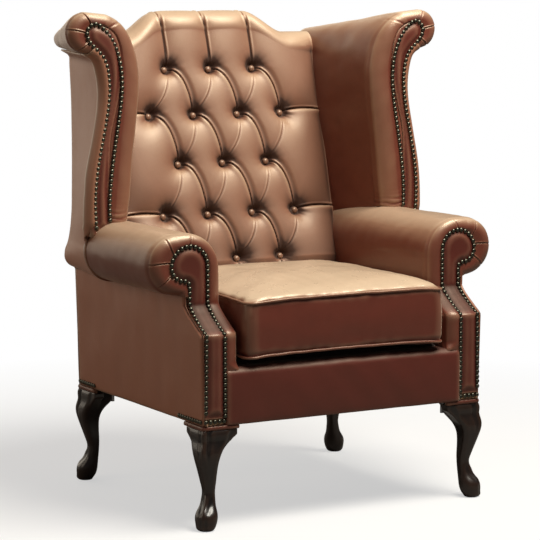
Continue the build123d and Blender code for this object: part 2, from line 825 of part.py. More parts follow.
with BuildPart() as outside_back:
    with BuildSketch(upright(0)):
        with BuildLine():
            side = [(half_base, base_bottom), roll_foot, wing_rear_outline["foot_out"],
                    wing_rear_outline["crease"], (back_half_high, panel_shoulder),
                    (hump_foot, panel_shoulder)]
            mirrored = [(-x, z) for x, z in reversed(side)]
            Polyline(*side)
            Spline(side[-1], (hump_half, back_top), tangents=((-1, 0), (-1, 0)))
            Line((hump_half, back_top), (-hump_half, back_top))
            Spline((-hump_half, back_top), mirrored[0], tangents=((-1, 0), (-1, 0)))
            Polyline(*mirrored)
            Line(mirrored[-1], side[0])
        make_face()
    extrude(amount=-(back_reach + cut_overrun))
    with BuildSketch(beside(-roll_foot[0])):
        with BuildLine():
            leaning_strip(leather_panel, 0, base_bottom, back_top)
        make_face()
    extrude(amount=2 * roll_foot[0], mode=Mode.INTERSECT)
save(outside_back, "outside_back")

# Seat: springs, clips, deck and front border
spring_front = leather_panel + (post_rear - leather_panel) / 2
spring_rear = rear_inner - rail_thickness / 2
spring_bends = ceil((spring_rear - spring_front) / spring_pitch)
spring_step = (spring_rear - spring_front) / spring_bends
spring_places = [((i - (spring_count - 1) / 2) * spring_spacing, 0) for i in range(spring_count)]
with BuildPart() as spring:
    with BuildLine(level(rail_top + clip_height / 2)) as wire:
        corners = []
        for i in range(spring_bends + 1):
            near = spring_half_width if i % 2 else -spring_half_width
            corners += [(near, spring_front + i * spring_step),
                        (-near, spring_front + i * spring_step)]
        FilletPolyline(*corners, radius=spring_bend_share * spring_step)
    with BuildSketch(Plane(origin=wire.wire() @ 0, z_dir=wire.wire() % 0)):
        Circle(spring_wire)
    sweep(path=wire.wire())
with BuildPart() as seat_springs:
    with Locations(*spring_places):
        add(spring.part)
save(seat_springs, "seat_springs")

with BuildPart() as spring_clips:
    with BuildSketch(level(rail_top)):
        with Locations(*[(x, y) for x, z in spring_places for y in (spring_front, spring_rear)]):
            Rectangle(clip_length, clip_width)
    extrude(amount=clip_height)
    add(seat_springs.part, mode=Mode.SUBTRACT)
save(spring_clips, "spring_clips")

cloth_base = rail_top + clip_height / 2 + spring_wire
with BuildPart() as deck_cloth:
    with BuildSketch(level(cloth_base)):
        with Locations((0, post_rear)):
            Rectangle(2 * deck_half, rear_corner - post_rear, align=(Align.CENTER, Align.MIN))
    extrude(amount=deck_cloth_thickness)
save(deck_cloth, "deck_cloth")

with BuildPart() as deck_padding:
    with BuildSketch(level(cloth_base + deck_cloth_thickness)):
        with Locations((0, post_rear)):
            Rectangle(2 * deck_half, rear_corner - post_rear, align=(Align.CENTER, Align.MIN))
    extrude(amount=deck_top - cloth_base - deck_cloth_thickness)
save(deck_padding, "deck_padding")

with BuildPart() as front_border:
    with BuildSketch(beside(-arm_inner)):
        with BuildLine():
            Polyline((0, base_bottom), (0, border_top - leather_panel))
            RadiusArc((0, border_top - leather_panel), (leather_panel, border_top), leather_panel)
            Polyline((leather_panel, border_top), (post_rear, border_top),
                     (post_rear, border_top - leather_panel),
                     (leather_panel, border_top - leather_panel), (leather_panel, base_bottom),
                     (0, base_bottom))
        make_face()
    extrude(amount=2 * arm_inner)
save(front_border, "front_border")


# Seat cushion: a foam core in a leather cover, with piping round its top and bottom
def cushion_outline(height, inset):
    half = cushion_half - inset
    front = cushion_bulge - cushion_reach + inset
    rear = cushion_back - cushion_bulge - inset
    middle = (front + rear) / 2
    with BuildSketch(level(height)) as outline:
        with BuildLine():
            ThreePointArc((half, front), (half - cushion_draw, middle), (half, rear))
            ThreePointArc((half, rear), (0, rear - cushion_draw), (-half, rear))
            ThreePointArc((-half, rear), (cushion_draw - half, middle), (-half, front))
            ThreePointArc((-half, front), (0, front + cushion_draw), (half, front))
        make_face()
        fillet(outline.vertices(), cushion_corner)
    return outline.sketch


with BuildPart() as cushion_core:
    with BuildSketch(level(cushion_low + core_inset)):
        with Locations((0, (cushion_back - cushion_reach) / 2)):
            Rectangle(2 * (cushion_half - core_inset), cushion_back + cushion_reach - 2 * core_inset)
    extrude(amount=cushion_high - cushion_low - 2 * core_inset)
save(cushion_core, "cushion_core")

with BuildPart() as cushion_form:
    loft([cushion_outline(cushion_low, 0),
          cushion_outline((cushion_low + cushion_high) / 2, -cushion_bulge),
          cushion_outline(cushion_high, 0)])
    for start, rise in ((cushion_high, cushion_crown), (cushion_low, -cushion_belly)):
        loft([cushion_outline(start + rise * rise_share, cushion_half * inset_share)
              for rise_share, inset_share in zip(crown_rise_shares, crown_inset_shares)])


def piping(height):
    ring = cushion_outline(height, 0).face().outer_wire()
    with BuildPart() as tube:
        with BuildSketch(Plane(origin=ring @ 0, z_dir=ring % 0)):
            Circle(piping_radius)
        sweep(path=ring)
    return tube


piping_top = piping(cushion_high)
save(piping_top, "piping_top")
piping_bottom = piping(cushion_low)
save(piping_bottom, "piping_bottom")
with BuildPart() as cushion_cover:
    add(cushion_form.part)
    add([cushion_core.part, piping_top.part, piping_bottom.part], mode=Mode.SUBTRACT)
save(cushion_cover, "cushion_cover")

# Domed nails
with BuildPart() as nail:
    with BuildSketch(Plane.XZ):
        with BuildLine():
            Polyline((0, nail_dome), (0, -nail_shank), (nail_shank_radius, -nail_shank),
                     (nail_shank_radius, 0), (nail_radius, 0))
            dome_arc(nail_radius, nail_dome, 0)
        make_face()
    revolve(axis=Axis.Z)


def arm_front_at(height):
    """How far back the arm's front stands at this height, and the way it faces there."""
    for (near, low), (far, high) in zip(knee_line, knee_line[1:]):
        if low < height <= high:
            return near + (far - near) * (height - low) / (high - low), (0, low - high, far - near)
    return (0 if height <= knee_low else arm_setback), (0, -1, 0)


def arm_nail_planes():
    """Nails a pitch apart along the facing's outline, which steps back at the knee."""
    with BuildLine(upright(-facing_proud)) as row:
        scroll_outline(0, base_nail_height + nail_pitch)
    rows = Wire(row.edges()[:-1])
    steps = ceil(rows.length / row_step)
    planes, walked, last = [], nail_pitch, None
    for i in range(steps + 1):
        point = rows @ (i / steps)
        setback, facing = arm_front_at(point.Z)
        point += Vector(0, setback, 0)
        walked += (point - last).length if last else 0
        last = point
        if walked >= nail_pitch:
            walked -= nail_pitch
            planes.append(Plane(origin=point, z_dir=facing))
    return planes


with BuildPart() as arm_nails_right:
    with Locations(*arm_nail_planes()):
        add(nail.part)
save_pair(arm_nails_right, "arm_nails")

with BuildLine(upright(wing_front - facing_proud)) as wing_line:
    Spline(*wing_row_points(0))
wing_row = wing_line.edge()
wing_nail_count = round(wing_row.length / nail_pitch)
with BuildPart() as wing_nails_right:
    with Locations(*[Plane(origin=wing_row @ (i / wing_nail_count), z_dir=(0, -1, 0))
                     for i in range(wing_nail_count + 1)]):
        add(nail.part)
save_pair(wing_nails_right, "wing_nails")

base_nail_side = side_face(base_nail_height)
flare = Vector(roll_foot[1] - base_bottom, 0, -arm_flare)
base_nail_planes = [Plane(origin=(arm_nail_outer - i * nail_pitch, -origin_setback, base_nail_height),
                          z_dir=(0, -1, 0)) for i in range(base_nails_front)]
side_rows = [nail_edge + nail_radius + i * nail_pitch for i in range(base_nails_side)]
side_rows += [rear_inner - nail_edge - i * nail_pitch for i in range(base_nails_rear)]
base_nail_planes += [Plane(origin=(base_nail_side, y - origin_setback, base_nail_height),
                           z_dir=flare) for y in side_rows]
with BuildPart() as base_nails_right:
    with Locations(*base_nail_planes):
        add(nail.part)
save_pair(base_nails_right, "base_nails")
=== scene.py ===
"""Looks for a deep-buttoned wing armchair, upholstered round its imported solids.

Metres. +Z is up and the chair faces -Y. Depths are measured back from the front seat rail, as an
upholsterer would, and chair_place() turns a depth into the frame's own Y.
"""
import json
import math

import bpy
import bmesh
import numpy as np
from mathutils import Euler, Matrix, Vector
from mathutils.geometry import delaunay_2d_cdt


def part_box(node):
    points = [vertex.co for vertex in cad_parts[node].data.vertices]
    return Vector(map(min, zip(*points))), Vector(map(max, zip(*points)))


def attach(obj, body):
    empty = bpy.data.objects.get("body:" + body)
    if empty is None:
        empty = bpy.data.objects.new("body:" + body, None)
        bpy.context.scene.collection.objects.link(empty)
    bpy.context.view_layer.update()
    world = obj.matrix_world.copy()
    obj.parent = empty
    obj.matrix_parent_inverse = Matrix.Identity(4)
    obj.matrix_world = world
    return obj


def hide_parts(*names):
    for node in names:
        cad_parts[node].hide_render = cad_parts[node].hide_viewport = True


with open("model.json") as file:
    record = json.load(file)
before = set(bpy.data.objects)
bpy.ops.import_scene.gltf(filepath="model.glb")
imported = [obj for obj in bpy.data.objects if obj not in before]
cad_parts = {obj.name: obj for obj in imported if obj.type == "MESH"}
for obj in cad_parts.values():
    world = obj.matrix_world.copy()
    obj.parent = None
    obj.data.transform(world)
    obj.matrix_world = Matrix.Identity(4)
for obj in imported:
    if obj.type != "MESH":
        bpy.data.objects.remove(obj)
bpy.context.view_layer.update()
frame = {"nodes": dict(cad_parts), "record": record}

# Sizes that the upholstery shares with the solids. Widths are from the middle plane.
RAIL_SETBACK = 0.3513
BASE_BOTTOM = 0.220
HALF_BASE = 0.343
ARM_INNER = 0.258
ARM_TOP = 0.613
ROLL_CENTRE = (0.363, 0.549)
ROLL_RADIUS = 0.064
ROLL_FOOT = (0.350, 0.4863)
SHOULDER_RADIUS = 0.078
KNEE_LOW, KNEE_HIGH, ARM_STEP = 0.409, 0.463, 0.075
SEAT_DEPTH = 0.600
NAIL_EDGE = 0.0052
WING_FRONT, WING_REAR = 0.365, 0.715
BACK_FACE, BACK_BEND, BACK_RECLINE = 0.458, 0.500, 0.3178
REAR_DEPTH, REAR_LEAN = 0.606, 0.2019
DECK_TOP = 0.3445
CREST_TOP, SHOULDER_TOP = 1.065, 1.014
HUMP_HALF, HUMP_FOOT = 0.110, 0.216
CUSHION_HALF, CUSHION_FRONT, CUSHION_REAR = 0.2455, -0.0105, 0.4560
CUSHION_MIDDLE, CUSHION_REACH = 0.223, 0.233
SEAM_LOW, SEAM_HIGH = 0.361, 0.475
BORDER_HALF = 0.2885
PIPING_RADIUS = 0.0030

SIDES = ("left", "right")
# How the leather is laid: its thickness, how far it stands off the board where it is tacked, and
# how many rings of points lie between a front edge's round and the nails
HIDE_THICKNESS = 0.004
TACK_RISE = 0.0024
FLAT_RINGS = 14
SHEET_THICKNESS = 0.0008
FACING_SPACING, PANEL_SPACING = 0.0035, 0.008
# Wear and painted light: how wide the hollows and ridges are that count, the heights over which
# painted shade on upward faces gives way to painted highlight with some rubbing, and how dark that
# painted shade is
RELIEF_REACH = 0.010
SHADE_TO_HIGHLIGHT_HEIGHTS = (0.455, 0.485)
SHADE_BELOW = 0.7


def add_object(name, data):
    piece = bpy.data.objects.new(name, data)
    bpy.context.scene.collection.objects.link(piece)
    return piece


# The camera stands where the photograph was taken from
def set_camera():
    camera = add_object("camera", bpy.data.cameras.new("camera"))
    degrees_down, degrees_right = 7.053, 29.617
    camera.location = (-2.59441, -4.23791 - RAIL_SETBACK, 1.14039)
    camera.rotation_euler = Euler([math.radians(turn) for turn in
                                   (90 - degrees_down, 0, -degrees_right)])
    camera.data.sensor_width = 36
    camera.data.lens = 157.74
    camera.data.clip_end = 100
    bpy.context.scene.camera = camera


set_camera()


# Shader sums
class Value:
    """A number or colour that a finish works out at each point of a surface."""

    def __init__(self, finish, socket):
        self.finish = finish
        self.socket = socket

    def sum(self, operation, first, second):
        return self.finish.node("Math", {"operation": operation}, {0: first, 1: second})

    def __add__(self, other):
        return self.sum("ADD", self, other)

    def __sub__(self, other):
        return self.sum("SUBTRACT", self, other)

    def __mul__(self, other):
        return self.sum("MULTIPLY", self, other)

    __radd__ = __add__
    __rmul__ = __mul__


class Finish:
    """A material. Its plain values are set on the shader, and node() makes everything else."""

    def __init__(self, name, **plain):
        self.material = bpy.data.materials.new(name)
        self.material.use_nodes = True
        self.tree = self.material.node_tree
        self.shader = self.tree.nodes["Principled BSDF"]
        for socket, value in plain.items():
            self.shader.inputs[socket.replace("_", " ")].default_value = value

    def feed(self, socket, value):
        if isinstance(value, Value):
            self.tree.links.new(value.socket, socket)
        elif isinstance(value, tuple) and len(value) == 3 and socket.type == "RGBA":
            socket.default_value = (*value, 1)
        else:
            socket.default_value = value

    def node(self, kind, settings=None, inputs=None, output=0):
        made = self.tree.nodes.new("ShaderNode" + kind)
        for name, value in (settings or {}).items():
            if name == "stops":
                ramp = made.color_ramp.elements
                while len(ramp) < len(value):
                    ramp.new(1)
                for stop, (place, colour) in zip(ramp, value):
                    stop.position = place
                    stop.color = (*colour, 1)
            else:
                setattr(made, name, value)
        for name, value in (inputs or {}).items():
            self.feed(made.inputs[name], value)
        return Value(self, made.outputs[output])

    def place(self, stretch=(1, 1, 1)):
        spot = self.node("TexCoord", output="Object")
        return self.node("Mapping", None, {"Vector": spot, "Scale": stretch})

    def noise(self, scale, detail=3, roughness=0.5, stretch=(1, 1, 1), twist=0):
        return self.node("TexNoise", None, {"Vector": self.place(stretch), "Scale": scale,
                                            "Detail": detail, "Roughness": roughness,
                                            "Distortion": twist})

    def between(self, low, high, value):
        return self.node("MapRange", {"clamp": True}, {"Value": value, 1: low, 2: high})

    def blend(self, share, first, second, how="MIX"):
        return self.node("Mix", {"data_type": "RGBA", "blend_type": how},
                         {0: share, 6: first, 7: second}, output=2)

    def bump(self, height, distance, under=None):
        inputs = {"Height": height, "Distance": distance}
        if under:
            inputs["Normal"] = under
        return self.node("Bump", None, inputs)

    def wear(self):
        return self.node("Attribute", {"attribute_name": "wear"}, output="Fac")

    def finish(self, **sockets):
        for name, value in sockets.items():
            self.feed(self.shader.inputs[name.replace("_", " ")], value)
        return self.material


def chair_leather(name, crease, body, worn_and_highlit, roughness=0.40, pale=(0.58, 0.44, 0.31), sheen=0.40):
    """Finely grained hide, darker down in the folds and paler where it stands proud and on upward faces:
    partly wear, partly painted shade and painted highlight.
    """
    hide = Finish(name, Specular_IOR_Level=0.85, Specular_Tint=(1.0, 0.88, 0.70, 1),
                  Coat_Roughness=0.30, Coat_IOR=1.4, Coat_Tint=(1.0, 0.93, 0.82, 1),
                  Sheen_Weight=sheen, Sheen_Roughness=0.28, Sheen_Tint=(1.0, 0.84, 0.64, 1))
    proud = hide.wear()
    cloud = hide.noise(7.0, 4, 0.6)
    level = proud + 0.14 * (cloud - 0.5)
    # The crease colour is painted shade in folds, pits and low upward faces, with some real darkening in
    # folds; the worn and pale colours are painted highlight with some wear
    colour = hide.blend(hide.between(-0.75, 0.0, level), crease, body)
    colour = hide.blend(hide.between(0.05, 0.9, level), colour, worn_and_highlit)
    colour = hide.blend(hide.between(0.85, 1.8, level), colour, pale)
    fleck = hide.between(0.45, 0.72, hide.noise(160.0, 4, 0.65))
    colour = hide.blend(0.05 * fleck, colour, crease)
    grain = hide.node("TexVoronoi", {"feature": "F1"}, {"Vector": hide.place(), "Scale": 620.0,
                                                       "Randomness": 0.9})
    pores = hide.noise(1100.0, 2, 0.5)
    creased = hide.bump(grain + 0.5 * pores, 0.00012)
    soft = hide.bump(hide.noise(38.0, 3, 0.5), 0.0003, creased)
    gloss = roughness + 0.10 * (hide.noise(24.0, 4, 0.6) - 0.5) - 0.06 * proud
    gloss = gloss + 0.26 - 0.26 * hide.between(-0.9, 0.0, proud)
    return hide.finish(Base_Color=colour, Roughness=gloss, Normal=soft,
                       Coat_Weight=0.03 + 0.07 * hide.between(0.0, 0.8, proud))


def ebonised_wood():
    wood = Finish("ebonised_wood", Specular_IOR_Level=0.5, Coat_Roughness=0.16)
    streak = wood.noise(26.0, 6, 0.6, (1, 1, 0.16), 0.6)
    rubbed = wood.between(0.1, 1.0, wood.wear() + 0.3 * wood.noise(18.0, 3))
    colour = wood.blend(wood.between(0.35, 0.7, streak), (0.0055, 0.0035, 0.0028),
                        (0.018, 0.0085, 0.0050))
    colour = wood.blend(0.45 * rubbed, colour, (0.060, 0.027, 0.014))
    pores = wood.noise(420.0, 3, 0.5, (1, 1, 0.08))
    return wood.finish(Base_Color=colour, Roughness=0.34 + 0.16 * (streak - 0.5),
                       Coat_Weight=0.35 + 0.2 * (streak - 0.5), Normal=wood.bump(pores, 0.00008))


def frame_timber():
    wood = Finish("frame_timber", Specular_IOR_Level=0.35)
    figure = wood.noise(16.0, 5, 0.55, (1, 1, 0.2), 1.2)
    ring = wood.node("TexWave", {"wave_type": "BANDS", "bands_direction": "DIAGONAL"},
                     {"Vector": wood.place((1, 1, 0.3)), "Scale": 24.0, "Distortion": 5.0,
                      "Detail": 3.0})
    colour = wood.blend(wood.between(0.3, 0.7, figure), (0.42, 0.26, 0.13), (0.58, 0.40, 0.23))
    colour = wood.blend(0.25 * ring, colour, (0.30, 0.17, 0.08))
    return wood.finish(Base_Color=colour, Roughness=0.62 + 0.1 * (figure - 0.5),
                       Normal=wood.bump(ring + figure, 0.0002))


def antique_metal(name, dark, bright, roughness):
    metal = Finish(name, Metallic=1.0)
    tarnish = metal.noise(420.0, 4, 0.6)
    rubbed = metal.between(-0.2, 0.9, metal.wear() + 0.5 * (tarnish - 0.5))
    colour = metal.blend(rubbed, dark, bright)
    return metal.finish(Base_Color=colour, Roughness=roughness + 0.18 * (tarnish - 0.5),
                        Normal=metal.bump(tarnish, 0.00010))


def woven_cloth(name, dark, light, threads):
    """Over-and-under threads, laid along X and along the slope of the piece."""
    cloth = Finish(name, Sheen_Weight=0.2, Specular_IOR_Level=0.2)
    rows = [cloth.node("TexWave",
                       {"wave_type": "BANDS", "bands_direction": way, "wave_profile": "SIN"},
                       {"Vector": cloth.place(), "Scale": threads, "Distortion": 0.4})
            for way in ("X", "Y", "Z")]
    weave = rows[0] * (rows[1] + rows[2])
    mottle = cloth.noise(30.0, 4, 0.6)
    colour = cloth.blend(cloth.between(0.1, 1.2, weave + 0.4 * mottle), dark, light)
    return cloth.finish(Base_Color=colour, Roughness=0.85 + 0.1 * (mottle - 0.5),
                        Normal=cloth.bump(weave, 0.0003))


def foam():
    filling = Finish("foam", Specular_IOR_Level=0.2)
    cells = filling.noise(700.0, 3, 0.6)
    colour = filling.blend(cells, (0.62, 0.58, 0.47), (0.78, 0.74, 0.62))
    return filling.finish(Base_Color=colour, Roughness=0.9 + 0.05 * cells,
                          Normal=filling.bump(cells, 0.0005))


# One leather in copies: the side and back copies are painted lighter, and the facing, front and button
# copies darker, as the light and shade that fall on those parts
CREASE = (0.038, 0.0040, 0.0030)
WORN_AND_HIGHLIT = (0.310, 0.170, 0.105)
SHADED_WORN_AND_HIGHLIT = (0.24, 0.100, 0.062)
hide = chair_leather("chair_leather", CREASE, (0.150, 0.034, 0.020), WORN_AND_HIGHLIT, sheen=0.22)
side_hide_lit = chair_leather("side_leather_lit", CREASE, (0.320, 0.110, 0.060), WORN_AND_HIGHLIT, 0.52, sheen=0.14)
back_hide_lit = chair_leather("back_leather", (0.026, 0.0026, 0.0017), (0.225, 0.102, 0.063),
                          (0.42, 0.265, 0.170), 0.48, sheen=0.12)
button_hide_shaded = chair_leather("button_leather", CREASE, (0.105, 0.024, 0.016), (0.20, 0.09, 0.055))
facing_hide_shaded = chair_leather("facing_leather", CREASE, (0.105, 0.014, 0.009), SHADED_WORN_AND_HIGHLIT, 0.46,
                            sheen=0.14)
front_hide_shaded = chair_leather("front_leather_shaded", CREASE, (0.108, 0.014, 0.009), SHADED_WORN_AND_HIGHLIT, 0.47,
                           sheen=0.20)
seat_hide = chair_leather("seat_leather", CREASE, (0.140, 0.026, 0.016), WORN_AND_HIGHLIT)
leg_wood = ebonised_wood()
timber = frame_timber()
nail_metal = antique_metal("antique_nail", (0.012, 0.010, 0.007), (0.100, 0.098, 0.075), 0.34)
bolt_metal = antique_metal("bolt_steel", (0.30, 0.30, 0.31), (0.62, 0.62, 0.63), 0.34)
spring_metal = antique_metal("spring_steel", (0.16, 0.16, 0.17), (0.42, 0.42, 0.44), 0.38)
webbing_cloth = woven_cloth("webbing", (0.10, 0.09, 0.075), (0.34, 0.31, 0.25), 160.0)
lining_cloth = woven_cloth("lining", (0.008, 0.008, 0.008), (0.035, 0.035, 0.036), 420.0)
sacking_cloth = woven_cloth("sacking", (0.16, 0.12, 0.07), (0.42, 0.34, 0.22), 240.0)
platform_cloth = woven_cloth("platform", (0.016, 0.008, 0.006), (0.070, 0.038, 0.030), 300.0)
filling_foam = foam()


# Making meshes
def chair_place(across, depth, height):
    across, depth, height = np.broadcast_arrays(across, depth, height)
    return np.stack([across, depth - RAIL_SETBACK, height], -1).astype(float)


def placed(flat):
    """Points given as across, depth and height, moved into the frame."""
    return chair_place(flat[..., 0], flat[..., 1], flat[..., 2])


def at_depth(spots, depth):
    """Points of the front view, given as across and height, set at a depth."""
    return chair_place(spots[:, 0], depth, spots[:, 1])


def rear_face(height):
    return REAR_DEPTH + np.maximum(0, height - BACK_BEND) * REAR_LEAN


def front_face(height):
    return BACK_FACE + np.maximum(0, height - BACK_BEND) * BACK_RECLINE


def arm_front(height):
    """How far back the arm's front stands at a height, hollow between its two bends."""
    share = np.clip((height - KNEE_LOW) / (KNEE_HIGH - KNEE_LOW), 0, 1)
    line = np.interp(share, (0, 0.2, 0.46, 0.72, 1), (0, 0.28, 0.56, 0.80, 1))
    return ARM_STEP * (0.75 * line + 0.25 * share * share * (3 - 2 * share))


def ease(low, high, value):
    """From 0 at the low value to 1 at the high one, level at both."""
    share = np.clip((value - low) / (high - low), 0, 1)
    return share * share * (3 - 2 * share)


def bell(gap, width):
    """A round-topped ridge one high, gone about two widths away."""
    return np.exp(-(gap / width) ** 2)


def fade(gap, width):
    """A sharp ridge one high that trails off over a few widths."""
    return np.exp(-np.abs(gap) / width)


def hump(share):
    """Nothing at either end of a length and one at its middle."""
    return np.clip(4 * share * (1 - share), 0, 1)


def arc(centre, radius, start, end, count):
    turn = np.radians(np.linspace(start, end, count))
    return np.stack([centre[0] + radius * np.cos(turn), centre[1] + radius * np.sin(turn)], -1)


def walked(line):
    """How far along a line each of its points is."""
    return np.r_[0, np.cumsum(np.linalg.norm(np.diff(line, axis=0), axis=1))]


def even(line, count):
    """The line with a set number of points, a steady step apart."""
    line = np.asarray(line, float)
    walk = walked(line)
    steps = np.linspace(0, walk[-1], count)
    return np.stack([np.interp(steps, walk, column) for column in line.T], -1)


def stepped(line, spacing):
    """The line with its points a steady step apart, as near to the spacing as comes out whole."""
    return even(line, max(2, int(round(walked(line)[-1] / spacing)) + 1))


def flowing(points, count=12):
    """A smooth line through the points."""
    p = np.asarray(points, float)
    p = np.vstack([2 * p[0] - p[1], p, 2 * p[-1] - p[-2]])
    t = np.linspace(0, 1, count, endpoint=False)[:, None]
    runs = [0.5 * (2 * b + (c - a) * t + (2 * a - 5 * b + 4 * c - d) * t ** 2
                   + (3 * b - a - 3 * c + d) * t ** 3)
            for a, b, c, d in zip(p, p[1:], p[2:], p[3:])]
    return np.vstack([*runs, p[-2:-1]])


def grid_normals(grid, closed=True):
    """Unit normals of a grid of points: rings down the first axis, points round the second."""
    if closed:
        round_ring = np.roll(grid, -1, 1) - np.roll(grid, 1, 1)
    else:
        round_ring = np.gradient(grid, axis=1)
    along = np.gradient(grid, axis=0)
    normal = np.cross(along, round_ring)
    return normal / (np.linalg.norm(normal, axis=-1, keepdims=True) + 1e-12)


def outward_normals(grid, spot, way, closed=True):
    """The grid's normals, all turned so that the one at a known spot faces the given way."""
    normal = grid_normals(grid, closed)
    return normal if normal[spot] @ np.array(way) > 0 else -normal


def new_object(name, points, faces):
    mesh = bpy.data.meshes.new(name)
    mesh.from_pydata(np.asarray(points, float).tolist(), [], faces)
    return add_object(name, mesh)


def points_of(piece):
    points = np.empty(len(piece.data.vertices) * 3)
    piece.data.vertices.foreach_get("co", points)
    return points.reshape(-1, 3)


def normals_of(piece):
    normals = np.empty(len(piece.data.vertices) * 3, np.float32)
    piece.data.vertex_normals.foreach_get("vector", normals)
    return normals.reshape(-1, 3)


def move_points(piece, points):
    piece.data.vertices.foreach_set("co", points.ravel())
    piece.data.update()


def shade_smooth(piece, smooth=True):
    piece.data.polygons.foreach_set("use_smooth", [smooth] * len(piece.data.polygons))


def turn_outwards(piece):
    build = bmesh.new()
    build.from_mesh(piece.data)
    bmesh.ops.remove_doubles(build, verts=build.verts, dist=1e-6)
    bmesh.ops.recalc_face_normals(build, faces=build.faces)
    build.to_mesh(piece.data)
    build.free()
    shade_smooth(piece)
    return piece


def quads_between(count, around, closed=False):
    """Faces between each ring of points and the next, and from the last to the first if closed."""
    here = np.arange(count * around).reshape(count, around)
    if closed:
        here = np.vstack([here, here[:1]])
    beside = np.roll(here, -1, 1)
    return np.stack([here[:-1], beside[:-1], beside[1:], here[1:]], -1).reshape(-1, 4).tolist()


def tube_faces(count, around):
    """The faces of a stack of rings with its two ends filled in."""
    ends = [list(range(around)), list(range((count - 1) * around, count * around))]
    return quads_between(count, around) + ends


def tube_of_rings(name, rings):
    """A closed skin over a stack of closed rings."""
    return turn_outwards(new_object(name, rings.reshape(-1, 3), tube_faces(*rings.shape[:2])))


def thick_sheet(name, grid, thickness):
    """A sheet of leather: the grid as its outer side, and its inner side a thickness behind."""
    normal = grid_normals(grid, closed=False)
    loop = np.concatenate([grid, (grid - normal * thickness)[:, ::-1]], 1)
    return tube_of_rings(name, loop)


def neighbour_mean(values, first, second, share):
    count = len(share)
    total = [np.bincount(first, column[second], count) + np.bincount(second, column[first], count)
             for column in values.T]
    return np.stack(total, -1) / share[:, None]


def mark_wear_and_painted_light(piece, full, rub_and_highlight):
    """Keeps on the mesh how far each point stands proud of what is round it, from -1 to 1.

    The finishes make folds darker and ridges paler from it, partly as wear and partly as painted shade
    and painted highlight. Upward faces are painted paler high up, as highlight with some rubbing, and
    painted darker lower down, as shade.
    """
    mesh = piece.data
    count = len(mesh.vertices)
    place, normal = points_of(piece), normals_of(piece)
    ends = np.empty(len(mesh.edges) * 2, int)
    mesh.edges.foreach_get("vertices", ends)
    first, second = ends.reshape(-1, 2).T
    share = np.maximum(1, np.bincount(ends, minlength=count))
    edge = np.median(np.linalg.norm(place[first] - place[second], axis=1))
    rounds = int(min(60, max(4, (RELIEF_REACH / edge) ** 2)))
    level = place
    for _ in range(rounds):
        level = 0.5 * level + 0.5 * neighbour_mean(level, first, second, share)
    proud = ((place - level) * normal).sum(1)[:, None]
    for _ in range(2):
        proud = 0.5 * proud + 0.5 * neighbour_mean(proud, first, second, share)
    highlit_share = ease(*SHADE_TO_HIGHLIGHT_HEIGHTS, place[:, 2])
    upward = ease(0.10, 1.0, normal[:, 2])
    # Painted highlight with some rubbing on upward faces high up, painted shade on them lower down
    wear = np.tanh(proud[:, 0] / full) + (rub_and_highlight * highlit_share - SHADE_BELOW * (1 - highlit_share)) * upward
    wear = wear.astype(np.float32)
    mesh.attributes.new("wear", "FLOAT", "POINT").data.foreach_set("value", wear)


def dress(piece, material, node, body="chair", wear=0.0016, rub_and_highlight=0.0):
    """Gives a finished piece its material and its marks of wear and painted shade and highlight, sets it
    on the empty of the body it rides on, and hides the solid whose place it takes.
    """
    piece.data.materials.clear()
    piece.data.materials.append(material)
    mark_wear_and_painted_light(piece, wear, rub_and_highlight)
    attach(piece, body)
    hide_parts(node)
    return piece


def for_side(points, side):
    """Right-hand points, mirrored when they are for the left."""
    return points if side == "right" else points * np.array([-1.0, 1.0, 1.0])


def ripples(points, scale, seed, waves=24):
    """A soft random swell over space, between about -1 and 1."""
    draw = np.random.default_rng(seed)
    way = draw.normal(size=(waves, 3))
    way = way / np.linalg.norm(way, axis=1, keepdims=True)
    length = scale * draw.uniform(0.6, 1.8, waves)
    shift = draw.uniform(0, 2 * math.pi, waves)
    flat = points.reshape(-1, 3)
    total = np.zeros(len(flat))
    for direction, size, phase in zip(way, length, shift):
        total += np.sin(flat @ direction * (2 * math.pi / size) + phase)
    return (total / math.sqrt(waves)).reshape(points.shape[:-1])


def nearest_on(line, points):
    """For each point, the nearest place on a closed line."""
    best = np.full(len(points), 1e9)
    spot = np.zeros_like(points)
    for a, b in zip(line, np.roll(line, -1, 0)):
        run = b - a
        share = np.clip((points - a) @ run / max(run @ run, 1e-12), 0, 1)
        found = a + share[:, None] * run
        gap = np.linalg.norm(points - found, axis=1)
        closer = gap < best
        best[closer] = gap[closer]
        spot[closer] = found[closer]
    return spot


# Seams and nail rows, seen from the front, right-hand side
def arm_facing_line(margin):
    """The arm facing's outline: up its inner edge, round the scroll and down its outer edge."""
    left, scroll, centre = 0.293 - margin, 0.042, (0.335, 0.545)
    curl_x, curl = centre[0] + scroll - 0.030, 0.030 + margin
    throat = 0.012 - margin
    low = centre[1] - curl
    outer = HALF_BASE - NAIL_EDGE + margin
    foot = BASE_BOTTOM + 0.002
    return np.vstack([
        [(left, foot)], arc(centre, scroll + margin, 180, 0, 60),
        arc((curl_x, centre[1]), curl, 0, -90, 24)[1:],
        arc((curl_x, low - throat), throat, 90, 180, 10)[1:], [(outer, foot)]])


WING_ROW = ((0.3765, 0.600), (0.377, 0.650), (0.3775, 0.700), (0.374, 0.790), (0.361, 0.850),
            (0.351, 0.895), (0.346, 0.940), (0.347, 0.970), (0.353, 1.000), (0.365, 1.022),
            (0.388, 1.036), (0.409, 1.041), (0.424, 1.030), (0.425, 1.012), (0.419, 0.999),
            (0.390, 0.970), (0.379, 0.940), (0.376, 0.895), (0.381, 0.850), (0.393, 0.790),
            (0.409, 0.700), (0.412, 0.650), (0.4095, 0.595))
WING_SEAM = flowing(WING_ROW, 8)


